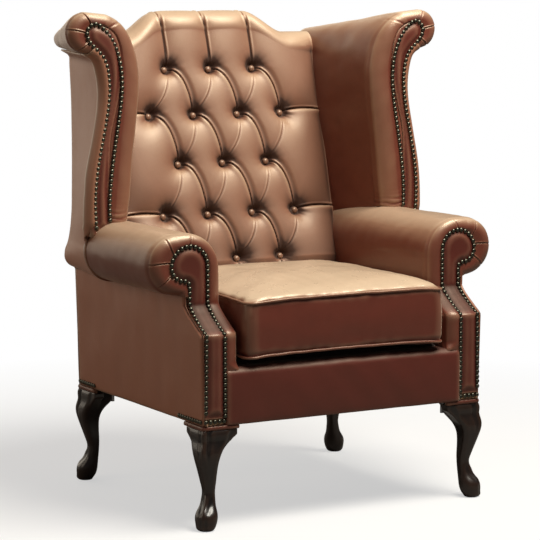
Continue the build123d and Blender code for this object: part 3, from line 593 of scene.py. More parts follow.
def loose_parts(node):
    """The points of each separate solid in a node."""
    piece = frame["nodes"][node]
    build = bmesh.new()
    build.from_mesh(piece.data)
    bmesh.ops.remove_doubles(build, verts=build.verts, dist=1e-6)
    build.verts.ensure_lookup_table()
    seen, groups = set(), []
    for start in build.verts:
        if start.index in seen:
            continue
        stack, group = [start], []
        seen.add(start.index)
        while stack:
            vert = stack.pop()
            group.append(tuple(vert.co))
            for link in vert.link_edges:
                other = link.other_vert(vert)
                if other.index not in seen:
                    seen.add(other.index)
                    stack.append(other)
        groups.append(np.array(group))
    build.free()
    return groups


def nail_spots(node, towards):
    """The middle of each nail's rim and the way its head faces."""
    places, facings = [], []
    for points in loose_parts(node):
        middle = points.mean(0)
        axes = np.linalg.svd(points - middle)[2]
        reach = [np.abs((points - middle) @ axis).max() for axis in axes]
        facing = axes[2] if reach[2] < 0.9 * reach[0] else axes[0]
        if facing @ np.array(towards) < 0:
            facing = -facing
        rise = (points - middle) @ facing
        flat = points - middle - np.outer(rise, facing)
        rim = np.linalg.norm(flat, axis=1) > 0.9 * np.linalg.norm(flat, axis=1).max()
        places.append(points[rim].mean(0))
        facings.append(facing)
    return np.array(places), np.array(facings)


# Repeats: one head set at each place by geometry nodes
def head_shape(name, profile, around):
    """A round head turned from a profile of (radius, height) pairs, its crown last."""
    turns = np.arange(around) * 2 * math.pi / around
    rings = [[(r * math.cos(a), r * math.sin(a), z) for a in turns] for r, z in profile[:-1]]
    points = [p for ring in rings for p in ring] + [(0, 0, profile[-1][1])]
    top = (len(rings) - 1) * around
    faces = quads_between(len(rings), around)
    faces += [[top + j, top + (j + 1) % around, len(points) - 1] for j in range(around)]
    faces.append(list(range(around)))
    return turn_outwards(new_object(name, points, faces))


def set_heads(name, head, places, facings, tilt, spread, seed):
    """Sets a copy of the head at each place, each a little turned and sized by its own chance."""
    points = new_object(name, places, [])
    points.data.attributes.new("facing", "FLOAT_VECTOR", "POINT").data.foreach_set(
        "vector", np.asarray(facings, np.float32).ravel())
    tree = bpy.data.node_groups.new(name, "GeometryNodeTree")
    face = tree.interface
    face.new_socket("Geometry", in_out="INPUT", socket_type="NodeSocketGeometry")
    chances = {face.new_socket(label, in_out="INPUT", socket_type="NodeSocketFloat"): value
               for label, value in (("Tilt", tilt), ("Spread", spread))}
    face.new_socket("Geometry", in_out="OUTPUT", socket_type="NodeSocketGeometry")

    def node(kind, inputs=None, **settings):
        made = tree.nodes.new(kind)
        for key, value in settings.items():
            setattr(made, key, value)
        for key, value in (inputs or {}).items():
            made.inputs[key].default_value = value
        return made

    way_in, way_out = node("NodeGroupInput"), node("NodeGroupOutput")
    shape = node("GeometryNodeObjectInfo", {"Object": head})
    facing = node("GeometryNodeInputNamedAttribute", {"Name": "facing"}, data_type="FLOAT_VECTOR")
    align = node("FunctionNodeAlignRotationToVector", axis="Z")
    lean = node("FunctionNodeRandomValue", {"Min": (-1, -1, -3), "Max": (1, 1, 3), "Seed": seed},
                data_type="FLOAT_VECTOR")
    lean_size = node("ShaderNodeVectorMath", operation="SCALE")
    turned = node("FunctionNodeRotateRotation", rotation_space="LOCAL")
    euler = node("FunctionNodeEulerToRotation")
    low = node("ShaderNodeMath", {0: 1}, operation="SUBTRACT")
    size = node("FunctionNodeRandomValue", {"Seed": seed + 1, 3: 1}, data_type="FLOAT")
    copies = node("GeometryNodeInstanceOnPoints")
    real = node("GeometryNodeRealizeInstances")
    for out, into in ((way_in.outputs["Geometry"], copies.inputs["Points"]),
                      (shape.outputs["Geometry"], copies.inputs["Instance"]),
                      (facing.outputs["Attribute"], align.inputs["Vector"]),
                      (lean.outputs[0], lean_size.inputs[0]),
                      (way_in.outputs["Tilt"], lean_size.inputs["Scale"]),
                      (lean_size.outputs[0], euler.inputs[0]),
                      (align.outputs[0], turned.inputs["Rotation"]),
                      (euler.outputs[0], turned.inputs["Rotate By"]),
                      (turned.outputs[0], copies.inputs["Rotation"]),
                      (way_in.outputs["Spread"], low.inputs[1]),
                      (low.outputs[0], size.inputs[2]),
                      (size.outputs[1], copies.inputs["Scale"]),
                      (copies.outputs[0], real.inputs[0]),
                      (real.outputs[0], way_out.inputs[0])):
        tree.links.new(out, into)
    modifier = points.modifiers.new("heads", "NODES")
    modifier.node_group = tree
    for socket, value in chances.items():
        modifier[socket.identifier] = value
    return settle(points)


def settle(piece):
    """The piece with its modifiers worked out and taken off."""
    ready = piece.evaluated_get(bpy.context.evaluated_depsgraph_get())
    mesh = bpy.data.meshes.new_from_object(ready)
    piece.modifiers.clear()
    piece.data = mesh
    return piece


# Arms
ARM_PLEATS = tuple((turn, 4.0 * math.sin(number * 2.1))
                   for number, turn in enumerate((112, 55, 7, -40)))


def front_fold(ring, seam, front, radius, deep):
    """Rings that carry a side wall round its front edge and in to the seam under the nails."""
    run = seam - ring
    length = np.linalg.norm(run, axis=1)
    way = run / (length[:, None] + 1e-9)
    rings = []
    for turn in np.radians(np.linspace(0, 90, 13)):
        spot = ring + way * (radius * (1 - math.cos(turn)))[:, None]
        rings.append((spot, front + deep * (1 - math.sin(turn))))
    for share in np.linspace(0, 1, FLAT_RINGS)[1:]:
        spot = ring + way * (radius + (length - radius) * share)[:, None]
        tuck = TACK_RISE * ease(0.0, 1, 1 - (1 - share) * length / 0.006)
        rings.append((spot, front + tuck))
    return rings


def into_fold(rings, folds, lead, join):
    """How far each ring is into the front fold, from 0 on the side wall to 1 at the nails."""
    share = np.zeros(len(rings))
    share[-folds:] = np.linspace(join, 1, folds)
    share[-folds - lead:-folds] = np.linspace(0, join, lead)
    return share[:, None]


def scroll_pleats(across, height, folded, centre, pleats, middle, cut, hollow, lip):
    """Pleats round a scroll, each at a turn in degrees and bending a little on its way out."""
    angle = np.degrees(np.arctan2(height - centre[1], across - centre[0]))
    reach = np.hypot(across - centre[0], height - centre[1])
    total = np.zeros(across.shape)
    for turn, bend in pleats:
        off = (angle - turn - bend * (reach - middle) / 0.015 + 180) % 360 - 180
        gap = np.radians(off) * reach
        valley = cut * bell(gap, 0.0010) + hollow * fade(gap, 0.005)
        total += (lip * bell(gap - 0.0026, 0.0012) - valley) * (np.abs(gap) < 0.03)
    return total * np.clip(folded * 2.2 - 0.30, 0, 1)


def fold_belly(folded):
    """The leather bellies out a little between the front edge and the nails."""
    return 0.0030 * np.sin(np.pi * folded) * (folded > 0.3)


def keep_off_board(rings, face):
    """The leather never sinks to the board that it is nailed to."""
    last = rings[-FLAT_RINGS:]
    last[..., 1] = np.minimum(last[..., 1], face + TACK_RISE - RAIL_SETBACK)


def roll_narrowing(depth):
    """How much of its reach the arm's roll keeps: all at the front, less towards the back."""
    return 1 - 0.97 * np.clip((depth - 0.395) / 0.205, 0, 1)


def without_jumps(seam, line, first, last):
    """The seam's points from one place to another spread evenly, so that no corner is skipped."""
    fine = even(line, 1500)
    ends = [np.linalg.norm(fine - seam[place], axis=1).argmin() for place in (first, last)]
    seam[first:last + 1] = fine[np.linspace(*ends, last + 1 - first).round().astype(int)]
    return seam


def make_arm(side):
    """The inside arm's leather: up its inner wall, over the top, round the roll and back inside.

    The ring is carried from the back to the front edge, round it and in to the nailed seam.
    """
    low, wall, bend, spine = BASE_BOTTOM + 0.001, 0.334, 0.535, 0.35
    inner = stepped([(ARM_INNER, low), (ARM_INNER, bend)], 0.0045)
    shoulder = arc((ARM_INNER + SHOULDER_RADIUS, bend), SHOULDER_RADIUS, 180, 90, 60)
    shoulder = stepped(shoulder, 0.0018)
    top = stepped([(0.336, ARM_TOP), (0.363, ARM_TOP)], 0.003)
    roll = stepped(arc(ROLL_CENTRE, ROLL_RADIUS, 90, -101.7, 120), 0.0016)
    inside = stepped([ROLL_FOOT, (wall, ROLL_FOOT[1]), (wall, low)], 0.006)
    under = stepped([(wall, low), (ARM_INNER, low)], 0.01)
    ring = np.vstack([inner, shoulder[1:], top[1:], roll[1:], inside[1:], under[1:-1]])
    seam_line = arm_facing_line(0.001)
    foot = len(inner) + len(shoulder) + len(top) + len(roll) - 4
    throat = foot - int(0.24 * len(roll))
    seam = without_jumps(nearest_on(seam_line, ring), seam_line, throat, foot + 6)
    radius = np.minimum(0.026, 0.82 * np.linalg.norm(seam - ring, axis=1))
    radius = radius * (0.22 + 0.78 * ease(0.330, 0.350, ring[:, 1]))
    hidden = (np.arange(len(ring)) > len(ring) - len(inside) - len(under) + 2)
    radius = np.where(hidden, 0.0005, radius)
    front = arm_front(ring[:, 1]) + np.where(hidden, 0.0022, 0)
    start = front + radius
    rows = []
    for step in np.linspace(0, 1, 76) ** 0.8:
        depth = SEAT_DEPTH + (start - SEAT_DEPTH) * step
        outer = ring[:, 0] - spine
        across = spine + outer * np.where(outer > 0, roll_narrowing(depth), 1)
        rows.append(chair_place(across, depth, ring[:, 1]))
    folds = front_fold(ring, seam, front, radius, radius)
    for spot, depth in folds[1:]:
        rows.append(at_depth(spot, depth - arm_front(ring[:, 1]) + arm_front(spot[:, 1])))
    rings = np.array(rows)
    normal = outward_normals(rings, (20, len(inner) // 2), (-1, 0, 0))
    # Soft swell of the padding, and pleats gathered round the scroll
    across, depth, height = rings[..., 0], rings[..., 1] + RAIL_SETBACK, rings[..., 2]
    lift = 0.0007 * ripples(rings, 0.20, 11) + 0.0002 * ripples(rings, 0.045, 12)
    lift *= ease(0.258, 0.275, across + (height > 0.53) * 0.1)
    folded = into_fold(rings, len(folds), 6, 0.15)
    centre = (0.352, 0.548)
    reach = np.hypot(across - centre[0], height - centre[1])
    pleats = scroll_pleats(across, height, folded, centre, ARM_PLEATS, 0.05, 0.0024, 0.0006, 0.0012)
    lift += (pleats * (reach > 0.02) * (height > 0.50)
             * (1 - ease(0.055, 0.066, reach) * (folded < 0.3)))
    lift += fold_belly(folded) * (height > 0.33)
    lift = np.where(hidden[None], 0, lift)
    # Pull at the seam where the wing's leather begins
    seam_gap = depth - 0.3885
    around_roll = ease(0.30, 0.34, across) * (height > 0.48)
    lift -= (0.0030 * bell(seam_gap, 0.0022) + 0.0012 * ease(0.004, 0.02, seam_gap)) * around_roll
    rings = rings + normal * lift[..., None]
    keep_off_board(rings, arm_front(rings[-FLAT_RINGS:, :, 2]))
    # The skin is closed well behind the facing
    rings = np.concatenate([rings, rings[-1:] + (0, 0.05, 0)])
    return inner_leather("arm", side, rings, 1.35)


def inner_leather(part, side, rings, rub_and_highlight):
    """The closed skin of an arm or a wing, on its own side."""
    piece = tube_of_rings(f"{part}_{side}", for_side(rings, side))
    return dress(piece, hide, f"inside_{part}_{side}", rub_and_highlight=rub_and_highlight)


# Flat panels cut to an outline, with their padding lifted off the frame behind
def padded_panel(name, outline, spacing, lift, place, thickness):
    """A panel filled with a mesh of even triangles; lift and place give each point its depth."""
    outline = np.asarray(outline, float)
    low, high = outline.min(0), outline.max(0)
    xs = np.arange(low[0] + spacing / 2, high[0], spacing)
    zs = np.arange(low[1] + spacing / 2, high[1], spacing * 0.866)
    mesh_points = np.array([(x + (spacing / 2 if row % 2 else 0), z) for row, z in enumerate(zs)
                            for x in xs])
    inside = points_inside(outline, mesh_points)
    edge_gap = np.linalg.norm(nearest_on(outline, mesh_points) - mesh_points, axis=1)
    mesh_points = mesh_points[inside & (edge_gap > 0.45 * spacing)]
    count = len(outline)
    flat = [Vector(p) for p in np.vstack([outline, mesh_points])]
    edges = [(i, (i + 1) % count) for i in range(count)]
    verts, _, faces, *_ = delaunay_2d_cdt(flat, edges, [], 1, 1e-7)
    flat = np.array([tuple(v) for v in verts])
    gap = np.linalg.norm(nearest_on(outline, flat) - flat, axis=1)
    front = place(flat, lift(flat, gap))
    back = place(flat, np.full(len(flat), -thickness))
    faces = [list(face) for face in faces]
    size = len(flat)
    rim = dict.fromkeys(pair for face in faces for pair in zip(face, face[1:] + face[:1]))
    sides = [[b, a, a + size, b + size] for a, b in rim if (b, a) not in rim]
    skin = faces + [[i + size for i in reversed(face)] for face in faces] + sides
    return turn_outwards(new_object(name, np.vstack([front, back]), skin))


def points_inside(outline, points):
    inside = np.zeros(len(points), bool)
    for (x1, z1), (x2, z2) in zip(outline, np.roll(outline, -1, 0)):
        crosses = (z1 > points[:, 1]) != (z2 > points[:, 1])
        with np.errstate(divide="ignore", invalid="ignore"):
            where = x1 + (points[:, 1] - z1) * (x2 - x1) / (z2 - z1)
        inside ^= crosses & (points[:, 0] < where)
    return inside


def make_facing(side, part, outline, front, swell, waves, rub_and_highlight):
    """The padded leather face that is nailed on over the ends of the side leathers."""
    least, rise, reach = swell

    def lift(flat, gap):
        full = ease(0.004, reach, gap)
        return least + rise * full + 0.0003 * np.sin(flat[:, 1] * waves) * full

    def place(flat, rise):
        return at_depth(flat, front(flat[:, 1]) - rise)

    piece = padded_panel(f"{part}_front_{side}", outline, FACING_SPACING, lift, place, 0.003)
    if side == "left":
        move_points(piece, for_side(points_of(piece), side))
        turn_outwards(piece)
    return dress(piece, facing_hide_shaded, f"{part}_facing_{side}",
                 wear=0.0012, rub_and_highlight=rub_and_highlight)


def make_arm_facing(side):
    outline = stepped(arm_facing_line(0.0035), 0.004)
    outline[:, 1] = np.maximum(outline[:, 1], 0.2345)
    return make_facing(side, "arm", outline, arm_front, (0.0004, 0.0046, 0.020), 90, 1.0)


def make_wing_facing(side):
    outline = stepped(np.vstack([WING_SEAM, WING_SEAM[:1]]), 0.004)[:-1]
    return make_facing(side, "wing", outline, lambda height: WING_FRONT, (0.0003, 0.0044, 0.018),
                       70, 0.0)


# Outside arm panels, from the roll's underside down to the base
def make_outside_arm(side):
    low, high = BASE_BOTTOM, ROLL_FOOT[1]
    radius = 0.007
    rows = []
    for height in np.linspace(high + 0.004, low + 0.0005, 70):
        outer = HALF_BASE + 0.007 * (height - low) / (high - low)
        front = float(arm_front(height))
        line = [(outer - NAIL_EDGE, front + 0.0006), (outer - radius, front)]
        line += [(outer - radius * (1 - math.sin(t)), front + radius * (1 - math.cos(t)))
                 for t in np.radians(np.linspace(0, 90, 8))[1:]]
        line += [(outer, d) for d in np.linspace(front + radius, REAR_DEPTH - 0.010, 90)[1:]]
        line += [(outer - 0.001, REAR_DEPTH - 0.005), (outer - 0.006, REAR_DEPTH - 0.002)]
        rows.append([(x, d, height) for x, d in line])
    flat = np.array(rows)
    grid = placed(flat)
    normal = outward_normals(grid, (30, 50), (1, 0, 0), closed=False)
    height, depth = flat[..., 2], flat[..., 1]
    back = (depth - arm_front(height)) / REAR_DEPTH
    belly = hump((height - low) / (high - low)) * hump(back)
    lift = 0.0035 * belly + 0.0007 * ripples(grid, 0.11, 21) * np.clip(back * 8, 0, 1)
    drag = np.sin((depth - 0.35 * height) * 2 * math.pi / 0.052 + 1.3 * ripples(grid, 0.2, 22))
    lift += 0.0006 * drag * np.exp(-(high - height) / 0.03) * np.clip(back * 6, 0, 1)
    lift -= 0.0018 * fade(height - low, 0.004)
    return outer_leather("arm", side, grid + normal * lift[..., None])


def outer_leather(part, side, grid):
    """The outside panel of an arm or a wing, on its own side."""
    thickness = HIDE_THICKNESS if side == "right" else -HIDE_THICKNESS
    piece = thick_sheet(f"outer_{part}_{side}", for_side(grid, side), thickness)
    return dress(piece, side_hide_lit, f"outside_{part}_{side}")


# Wings: their lines at the front and at the outside back, seen from the front
WING_FRONT_LINE = {
    "inner": ((0.330, 0.556), (0.3205, 0.640), (0.309, 0.745), (0.298, 0.840), (0.292, 0.915),
              (0.2955, 0.960), (0.3065, 0.995), (0.325, 1.025), (0.350, 1.048), (0.378, 1.061)),
    "roll": (0.425, 1.022, 0.044),
    "outer": ((0.4065, 0.966), (0.398, 0.945), (0.391, 0.905), (0.3925, 0.860), (0.405, 0.790),
              (0.4195, 0.720), (0.4255, 0.662), (0.4275, 0.620), (0.4285, 0.583)),
}
WING_REAR_LINE = {
    "inner": ((0.216, 0.556), (0.228, 0.640), (0.246, 0.745), (0.259, 0.840), (0.269, 0.915),
              (0.2755, 0.960), (0.283, 0.985), (0.293, 1.005), (0.303, 1.013), (0.313, 1.017)),
    "roll": (0.328, 0.999, 0.019),
    "outer": ((0.3083, 0.966), (0.3086, 0.945), (0.3091, 0.905), (0.3099, 0.860), (0.3115, 0.790),
              (0.3122, 0.720), (0.3136, 0.662), (0.3154, 0.620), (0.3206, 0.583)),
}
# Where the outer leathers of the wing and of the arm's roll end at the outside back
WING_SIDE_REAR = ((0.3125, 0.966), (0.3135, 0.945), (0.3155, 0.905), (0.3185, 0.860),
                  (0.325, 0.790), (0.332, 0.720), (0.338, 0.662), (0.3425, 0.620), (0.349, 0.583))
ROLL_SIDE_REAR = ((0.349, 0.583), (0.356, 0.557), (0.362, 0.542), (0.368, 0.531), (0.371, 0.517),
                  (0.370, 0.509), (0.364, 0.500), (0.353, 0.494))
WING_PLEATS = tuple((turn, 5.0 * math.sin(number * 1.7 + 0.6))
                    for number, turn in enumerate((150, 108, 66, 18, -38)))


def wing_lines(share):
    """The wing's inner line with its roll, and its outer line, a share of the way back."""
    mix = {name: np.array(WING_FRONT_LINE[name]) * (1 - share)
           + np.array(WING_REAR_LINE[name]) * share for name in WING_FRONT_LINE}
    x, z, radius = mix["roll"]
    roll = arc((x, z), radius, 90, -100, 80)
    return flowing(mix["inner"], 16), roll, flowing(mix["outer"], 16)


def back_to_panel(lines, step, short):
    """Each point of a line as far back as it may go: a step of the way to the outside back."""
    reach = (rear_face(lines[0][:, 1]) - short - WING_FRONT) / (WING_REAR - WING_FRONT)
    share = step * np.clip(reach, 0, 1)
    spot = share * (len(lines) - 1)
    low = np.minimum(spot.astype(int), len(lines) - 2)
    here = np.arange(lines.shape[1])
    mix = (spot - low)[:, None]
    return lines[low, here] * (1 - mix) + lines[low + 1, here] * mix, share


def ring_of_wing(share):
    """The wing's whole section at a share of the way back: inner wall, roll, outer wall and foot."""
    inner, roll, outer = wing_lines(share)
    inner, roll = even(inner, 170), even(roll, 110)
    outer = even(outer - np.array([0.006, 0]), 60)
    foot = np.linspace(outer[-1], inner[0], 12)[1:-1]
    return np.vstack([inner, roll[1:], outer, foot])


def make_wing(side):
    """The inside wing's leather, from the outside back to the front, round it and to the nails."""
    lines = np.array([ring_of_wing(share) for share in np.linspace(0, 1, 30)])
    front_ring = lines[0]
    seam = nearest_on(WING_SEAM, front_ring)
    rolled = ease(0.93, 0.99, front_ring[:, 1]) * ease(0.34, 0.37, front_ring[:, 0])
    radius = np.minimum(0.042 - 0.020 * rolled, 0.86 * np.linalg.norm(seam - front_ring, axis=1))
    deep = np.minimum(0.036, radius)
    rows = []
    for step in np.linspace(1, 0, 64) ** 1.15:
        ring, share = back_to_panel(lines, step, 0.012)
        depth = WING_FRONT + deep * (1 - step) + (WING_REAR - WING_FRONT) * share
        rows.append(at_depth(ring, depth))
    folds = front_fold(front_ring, seam, WING_FRONT, radius, deep)
    rings = np.array(rows + [at_depth(spot, depth) for spot, depth in folds[1:]])
    normal = outward_normals(rings, (30, 60), (-1, 0, 0))
    across, depth, height = rings[..., 0], rings[..., 1] + RAIL_SETBACK, rings[..., 2]
    lift = 0.0014 * ripples(rings, 0.18, 31) + 0.0004 * ripples(rings, 0.05, 32)
    folded = into_fold(rings, len(folds), 10, 0.2)
    pleats = scroll_pleats(across, height, folded, (0.408, 1.014), WING_PLEATS, 0.04, 0.0028,
                           0.0007, 0.0013)
    lift += pleats * (height > 0.955) + fold_belly(folded)
    # Small folds where the wing's leather is drawn down on to the arm
    gather = fade(height - 0.622, 0.012) * fade(depth - WING_FRONT, 0.03) * (across < 0.378)
    lift += 0.0020 * gather * np.sin(height * 2 * math.pi / 0.011 + 2 * ripples(rings, 0.05, 33))
    rings = rings + normal * lift[..., None]
    keep_off_board(rings, WING_FRONT)
    return inner_leather("wing", side, rings, 1.0)


def make_wing_board(side):
    """The board behind the nails, its inner edge planed back under the round of the leather."""
    piece = add_object(f"wing_timber_{side}", frame["nodes"][f"wing_board_{side}"].data.copy())
    points = points_of(piece)
    inner = np.array(WING_ROW[:9])
    least = np.interp(points[:, 2], inner[:, 1], inner[:, 0]) - 0.003
    across = np.abs(points[:, 0])
    across = np.where(points[:, 2] < 0.985, np.maximum(across, least), across)
    points[:, 0] = np.sign(points[:, 0]) * across
    move_points(piece, points)
    turn_outwards(piece)
    shade_smooth(piece, False)
    return dress(piece, timber, f"wing_board_{side}")


def make_outside_wing(side):
    """The leather from under the wing's roll down over the back of the arm's roll."""
    under = arc(ROLL_CENTRE, ROLL_RADIUS + 0.0010, 14, -97, 16)
    front_line, rear_line = (
        np.vstack([even(flowing([roll[-4] + (0.001, -0.001), *side_points], 8), 120),
                   even(flowing([side_points[-1], *turn_points], 8), 70)[1:]])
        for roll, side_points, turn_points in (
            (wing_lines(0)[1], WING_FRONT_LINE["outer"][:-1], under),
            (wing_lines(0.94)[1], WING_SIDE_REAR, ROLL_SIDE_REAR[1:])))
    for _ in range(6):
        for line in (front_line, rear_line):
            line[1:-1] = 0.5 * line[1:-1] + 0.25 * (line[:-2] + line[2:])
    rows = []
    for step in np.linspace(0, 1, 60):
        line = front_line * (1 - step) + rear_line * step
        depth = WING_FRONT + (rear_face(line[:, 1]) - 0.004 - WING_FRONT) * step
        rows.append(np.column_stack([line[:, 0], depth, line[:, 1]]))
    flat = np.array(rows)
    # The front edge turns in to the nails, long in depth and short across
    first = flat[0][:, [0, 2]]
    run = nearest_on(WING_SEAM, first) - first
    length = np.linalg.norm(run, axis=1)
    turned = ease(0.575, 0.615, first[:, 1])
    radius = np.minimum(0.013, 0.75 * length) * turned
    deep = np.minimum(0.022, 2.2 * radius)
    way = run / (length[:, None] + 1e-9)
    start = WING_FRONT + 0.019 * (1 - turned)
    flat[..., 1] = np.maximum(flat[..., 1], (start + deep)[None])
    lead = []
    for share in np.linspace(1, 0, 6)[:-1]:
        spot = first + way * (radius + (length - radius) * share * turned)[:, None]
        lead.append(np.column_stack([spot[:, 0], start + 0.0010 * share, spot[:, 1]]))
    for turn in np.radians(np.linspace(90, 0, 10)):
        spot = first + way * (radius * (1 - math.cos(turn)))[:, None]
        lead.append(np.column_stack([spot[:, 0], start + deep * (1 - math.sin(turn)), spot[:, 1]]))
    flat = np.concatenate([np.array(lead), flat[flat[:, 0, 1] > (start + deep)[0]]])
    grid = placed(flat)
    normal = outward_normals(grid, (40, 60), (1, 0, 0), closed=False)
    lift = 0.0005 * ripples(grid, 0.18, 41) * ease(0.0, 0.02, flat[..., 1] - WING_FRONT)
    return outer_leather("wing", side, grid + normal * lift[..., None])


for make in (make_arm, make_arm_facing, make_outside_arm, make_wing, make_wing_board,
             make_wing_facing, make_outside_wing):
    for side in SIDES:
        make(side)


# The buttoned back: each row's height and its buttons' places across, alike on both sides
BUTTON_ROWS = ((0.928, (0.0, 0.112)), (0.824, (0.059, 0.171)), (0.715, (0.0, 0.113)),
               (0.601, (0.060, 0.169)), (0.500, (0.0, 0.112)))
RECLINE = math.atan(BACK_RECLINE)
BUTTON_DEPTH = 0.024
# The stuffing's push, how firmly it is held everywhere, and the spacing of the grid
BACK_PRESSURE, BACK_HOLD, BACK_SPACING = 11.0, 900.0, 0.00195


def button_grid():
    """Each row's buttons from left to right, as places on the padded face."""
    rows = []
    for height, offsets in BUTTON_ROWS:
        across = sorted({sign * offset for offset in offsets for sign in (-1, 1)})
        rows.append([(x, height + BUTTON_DEPTH * math.sin(RECLINE)) for x in across])
    return rows


def bent(start, bend, end):
    """A line that leaves its start towards the bend and comes in to its end from there."""
    t = np.linspace(0, 1, 18)[:, None]
    start, bend, end = (np.array(p) for p in (start, bend, end))
    return (1 - t) ** 2 * start + 2 * t * (1 - t) * bend + t ** 2 * end


def pleat_lines():
    """Deep pleats fall to the right, fine ones to the left, and the edges have their own."""
    rows = button_grid()
    deep, fine = [], []
    for upper, lower in zip(rows, rows[1:]):
        for ax, az in upper:
            for bx, bz in lower:
                dx, dz = bx - ax, bz - az
                if 0.03 < dx < 0.09:
                    deep.append(bent((ax + 0.004, az + 0.001), (ax + 0.80 * dx, az + 0.10 * dz),
                                     (bx - 0.003, bz + 0.006)))
                elif -0.09 < dx < -0.03:
                    fine.append(bent((ax, az - 0.005), (ax + 0.16 * dx, az + 0.62 * dz),
                                     (bx + 0.004, bz + 0.008)))
    edge = []
    for row in (rows[1], rows[3]):
        for x, z in (row[0], row[-1]):
            out = math.copysign(1, x)
            edge.append(bent((x, z + 0.002), (x + out * 0.055, z + 0.013),
                             (out * 0.292, z + 0.002)))
    crest = [bent((x, z), (x + 0.006, z + 0.06), (x - 0.004, z + 0.19)) for x, z in rows[0]]
    foot = [bent((x, z), (x + 0.004, z - 0.04), (x, z - 0.17)) for x, z in rows[-1]]
    return deep, fine, edge, crest + foot


def line_gap(line, across, rise, reach=0.07):
    """Signed distance from a line, and how far along it the nearest place is; far points wait."""
    gap = np.full(across.shape, 1.0)
    side = np.ones(across.shape)
    along = np.zeros(across.shape)
    low, high = line.min(0) - reach, line.max(0) + reach
    near = (across > low[0]) & (across < high[0]) & (rise > low[1]) & (rise < high[1])
    points = np.stack([across[near], rise[near]], -1)
    best, sign, walk = np.full(len(points), 1.0), np.ones(len(points)), np.zeros(len(points))
    for number, (a, b) in enumerate(zip(line, line[1:])):
        run = b - a
        share = np.clip((points - a) @ run / (run @ run), 0, 1)
        off = points - a - share[:, None] * run
        size = np.linalg.norm(off, axis=1)
        closer = size < best
        best[closer] = size[closer]
        turn = run[0] * off[:, 1] - run[1] * off[:, 0]
        sign[closer] = np.sign(turn[closer])
        walk[closer] = (number + share[closer]) / (len(line) - 1)
    gap[near], side[near], along[near] = best, sign, walk
    return gap, side, along


def settled(target, hold, pressure, spacing):
    """The form a stuffed hide takes: pushed out everywhere, held where it is stitched.

    It is worked out on a coarse grid first, and each finer grid starts from the one before.
    """
    form = None
    for factor, rounds in ((8, 300), (4, 260), (2, 220), (1, 160)):
        shape = [-(-size // factor) * factor for size in target.shape]
        grow = [(0, big - size) for big, size in zip(shape, target.shape)]
        blocks = [np.pad(values, grow, mode="edge").reshape(
            shape[0] // factor, factor, shape[1] // factor, factor).mean((1, 3))
            for values in (hold, hold * target)]
        area = (factor * spacing) ** 2
        stiff = blocks[0] * area
        pull = blocks[1] * area + pressure * area
        if form is None:
            form = np.zeros_like(stiff)
        else:
            form = form.repeat(2, 0).repeat(2, 1)
            short = [(0, max(0, a - b)) for a, b in zip(stiff.shape, form.shape)]
            form = np.pad(form, short, mode="edge")[:stiff.shape[0], :stiff.shape[1]]
        for _ in range(rounds):
            wide = np.pad(form, 1, mode="edge")
            around = wide[:-2, 1:-1] + wide[2:, 1:-1] + wide[1:-1, :-2] + wide[1:-1, 2:]
            form = (around + pull) / (4 + stiff)
    return form[:target.shape[0], :target.shape[1]]


def tuft_lift(across, rise, half):
    """How far the buttoned leather lies above or below the back's padded face.

    Each pleat and button is stitched down to its depth, and its crease and lips go on afterwards.
    """
    deep, fine, edge, ends = pleat_lines()
    hold = np.full(across.shape, BACK_HOLD)
    weighted = np.zeros(across.shape)
    crease = np.zeros(across.shape)

    def stitch(strength, depth):
        nonlocal hold, weighted
        hold = hold + strength
        weighted = weighted + strength * depth

    def roll_beside(gap):
        return (gap / 0.005) * np.exp(1 - gap / 0.005)

    for line in deep:
        gap, side, along = line_gap(line, across, rise)
        above = gap * side
        stitch(7e5 * bell(gap, 0.0020), -0.0110 + 0.0052 * np.sin(np.pi * np.clip(along, 0, 1)))
        on = ease(0.0, 0.08, along) * ease(0.0, 0.05, 1 - along)
        lip = 0.0022 * bell(gap - 0.0032, 0.0013) - 0.0022 * bell(gap - 0.0095, 0.0055)
        crease += on * (-0.0070 * bell(gap, 0.0013)
                        + np.where(above < 0, 0.0036 * roll_beside(gap), 0)
                        + np.where(above > 0, lip, 0))
    for line in fine:
        gap, side, along = line_gap(line, across, rise)
        stitch(3e4 * bell(gap, 0.0022), -0.0050 + 0.0035 * np.sin(np.pi * along))
        crease += ease(0.0, 0.15, along) * (-0.0019 * bell(gap, 0.0011)
                                            + 0.0010 * bell(gap * side + 0.0026, 0.0014))
    for line in edge:
        gap, side, _ = line_gap(line, across, rise)
        above = gap * np.where(line[-1][0] > 0, side, -side)
        stitch(6e5 * bell(gap, 0.0020), -0.0120)
        crease += (-0.0065 * bell(gap, 0.0013)
                   + np.where(above > 0, 0.0020 * bell(gap - 0.0032, 0.0014), 0)
                   + np.where(above < 0, 0.0030 * roll_beside(gap), 0))
    for line in ends:
        gap, side, _ = line_gap(line, across, rise)
        stitch(4e5 * bell(gap, 0.0020), -0.0105)
        crease += -0.0060 * bell(gap, 0.0013) + 0.0020 * bell(gap * side + 0.0036, 0.0016)
    pits = np.zeros(across.shape)
    for x, z in (spot for row in button_grid() for spot in row):
        gap = np.hypot(across - x, rise - z)
        turn = np.arctan2(rise - z, across - x)
        stitch(5e6 * np.exp(-(gap / 0.0100) ** 6), -0.0215)
        wide = 0.0045 + 0.0065 * ease(-0.6, 0.9, np.cos(turn - 0.9))
        pits -= 0.0030 * np.exp(-np.maximum(gap - 0.009, 0) / wide)
        pucker = np.cos(15 * turn + 120 * x) * fade(gap, 0.011) * ease(0.009, 0.014, gap)
        pits += 0.0022 * pucker * (0.35 + 0.65 * ease(-0.6, 0.9, np.cos(turn - 0.5)))
    stitch(1.2e6 * bell(half - np.abs(across), 0.004), -0.0140)
    stitch(1.0e6 * bell(rise - DECK_TOP, 0.006), -0.0100)
    return settled(weighted / hold, hold, BACK_PRESSURE, BACK_SPACING) + crease + pits


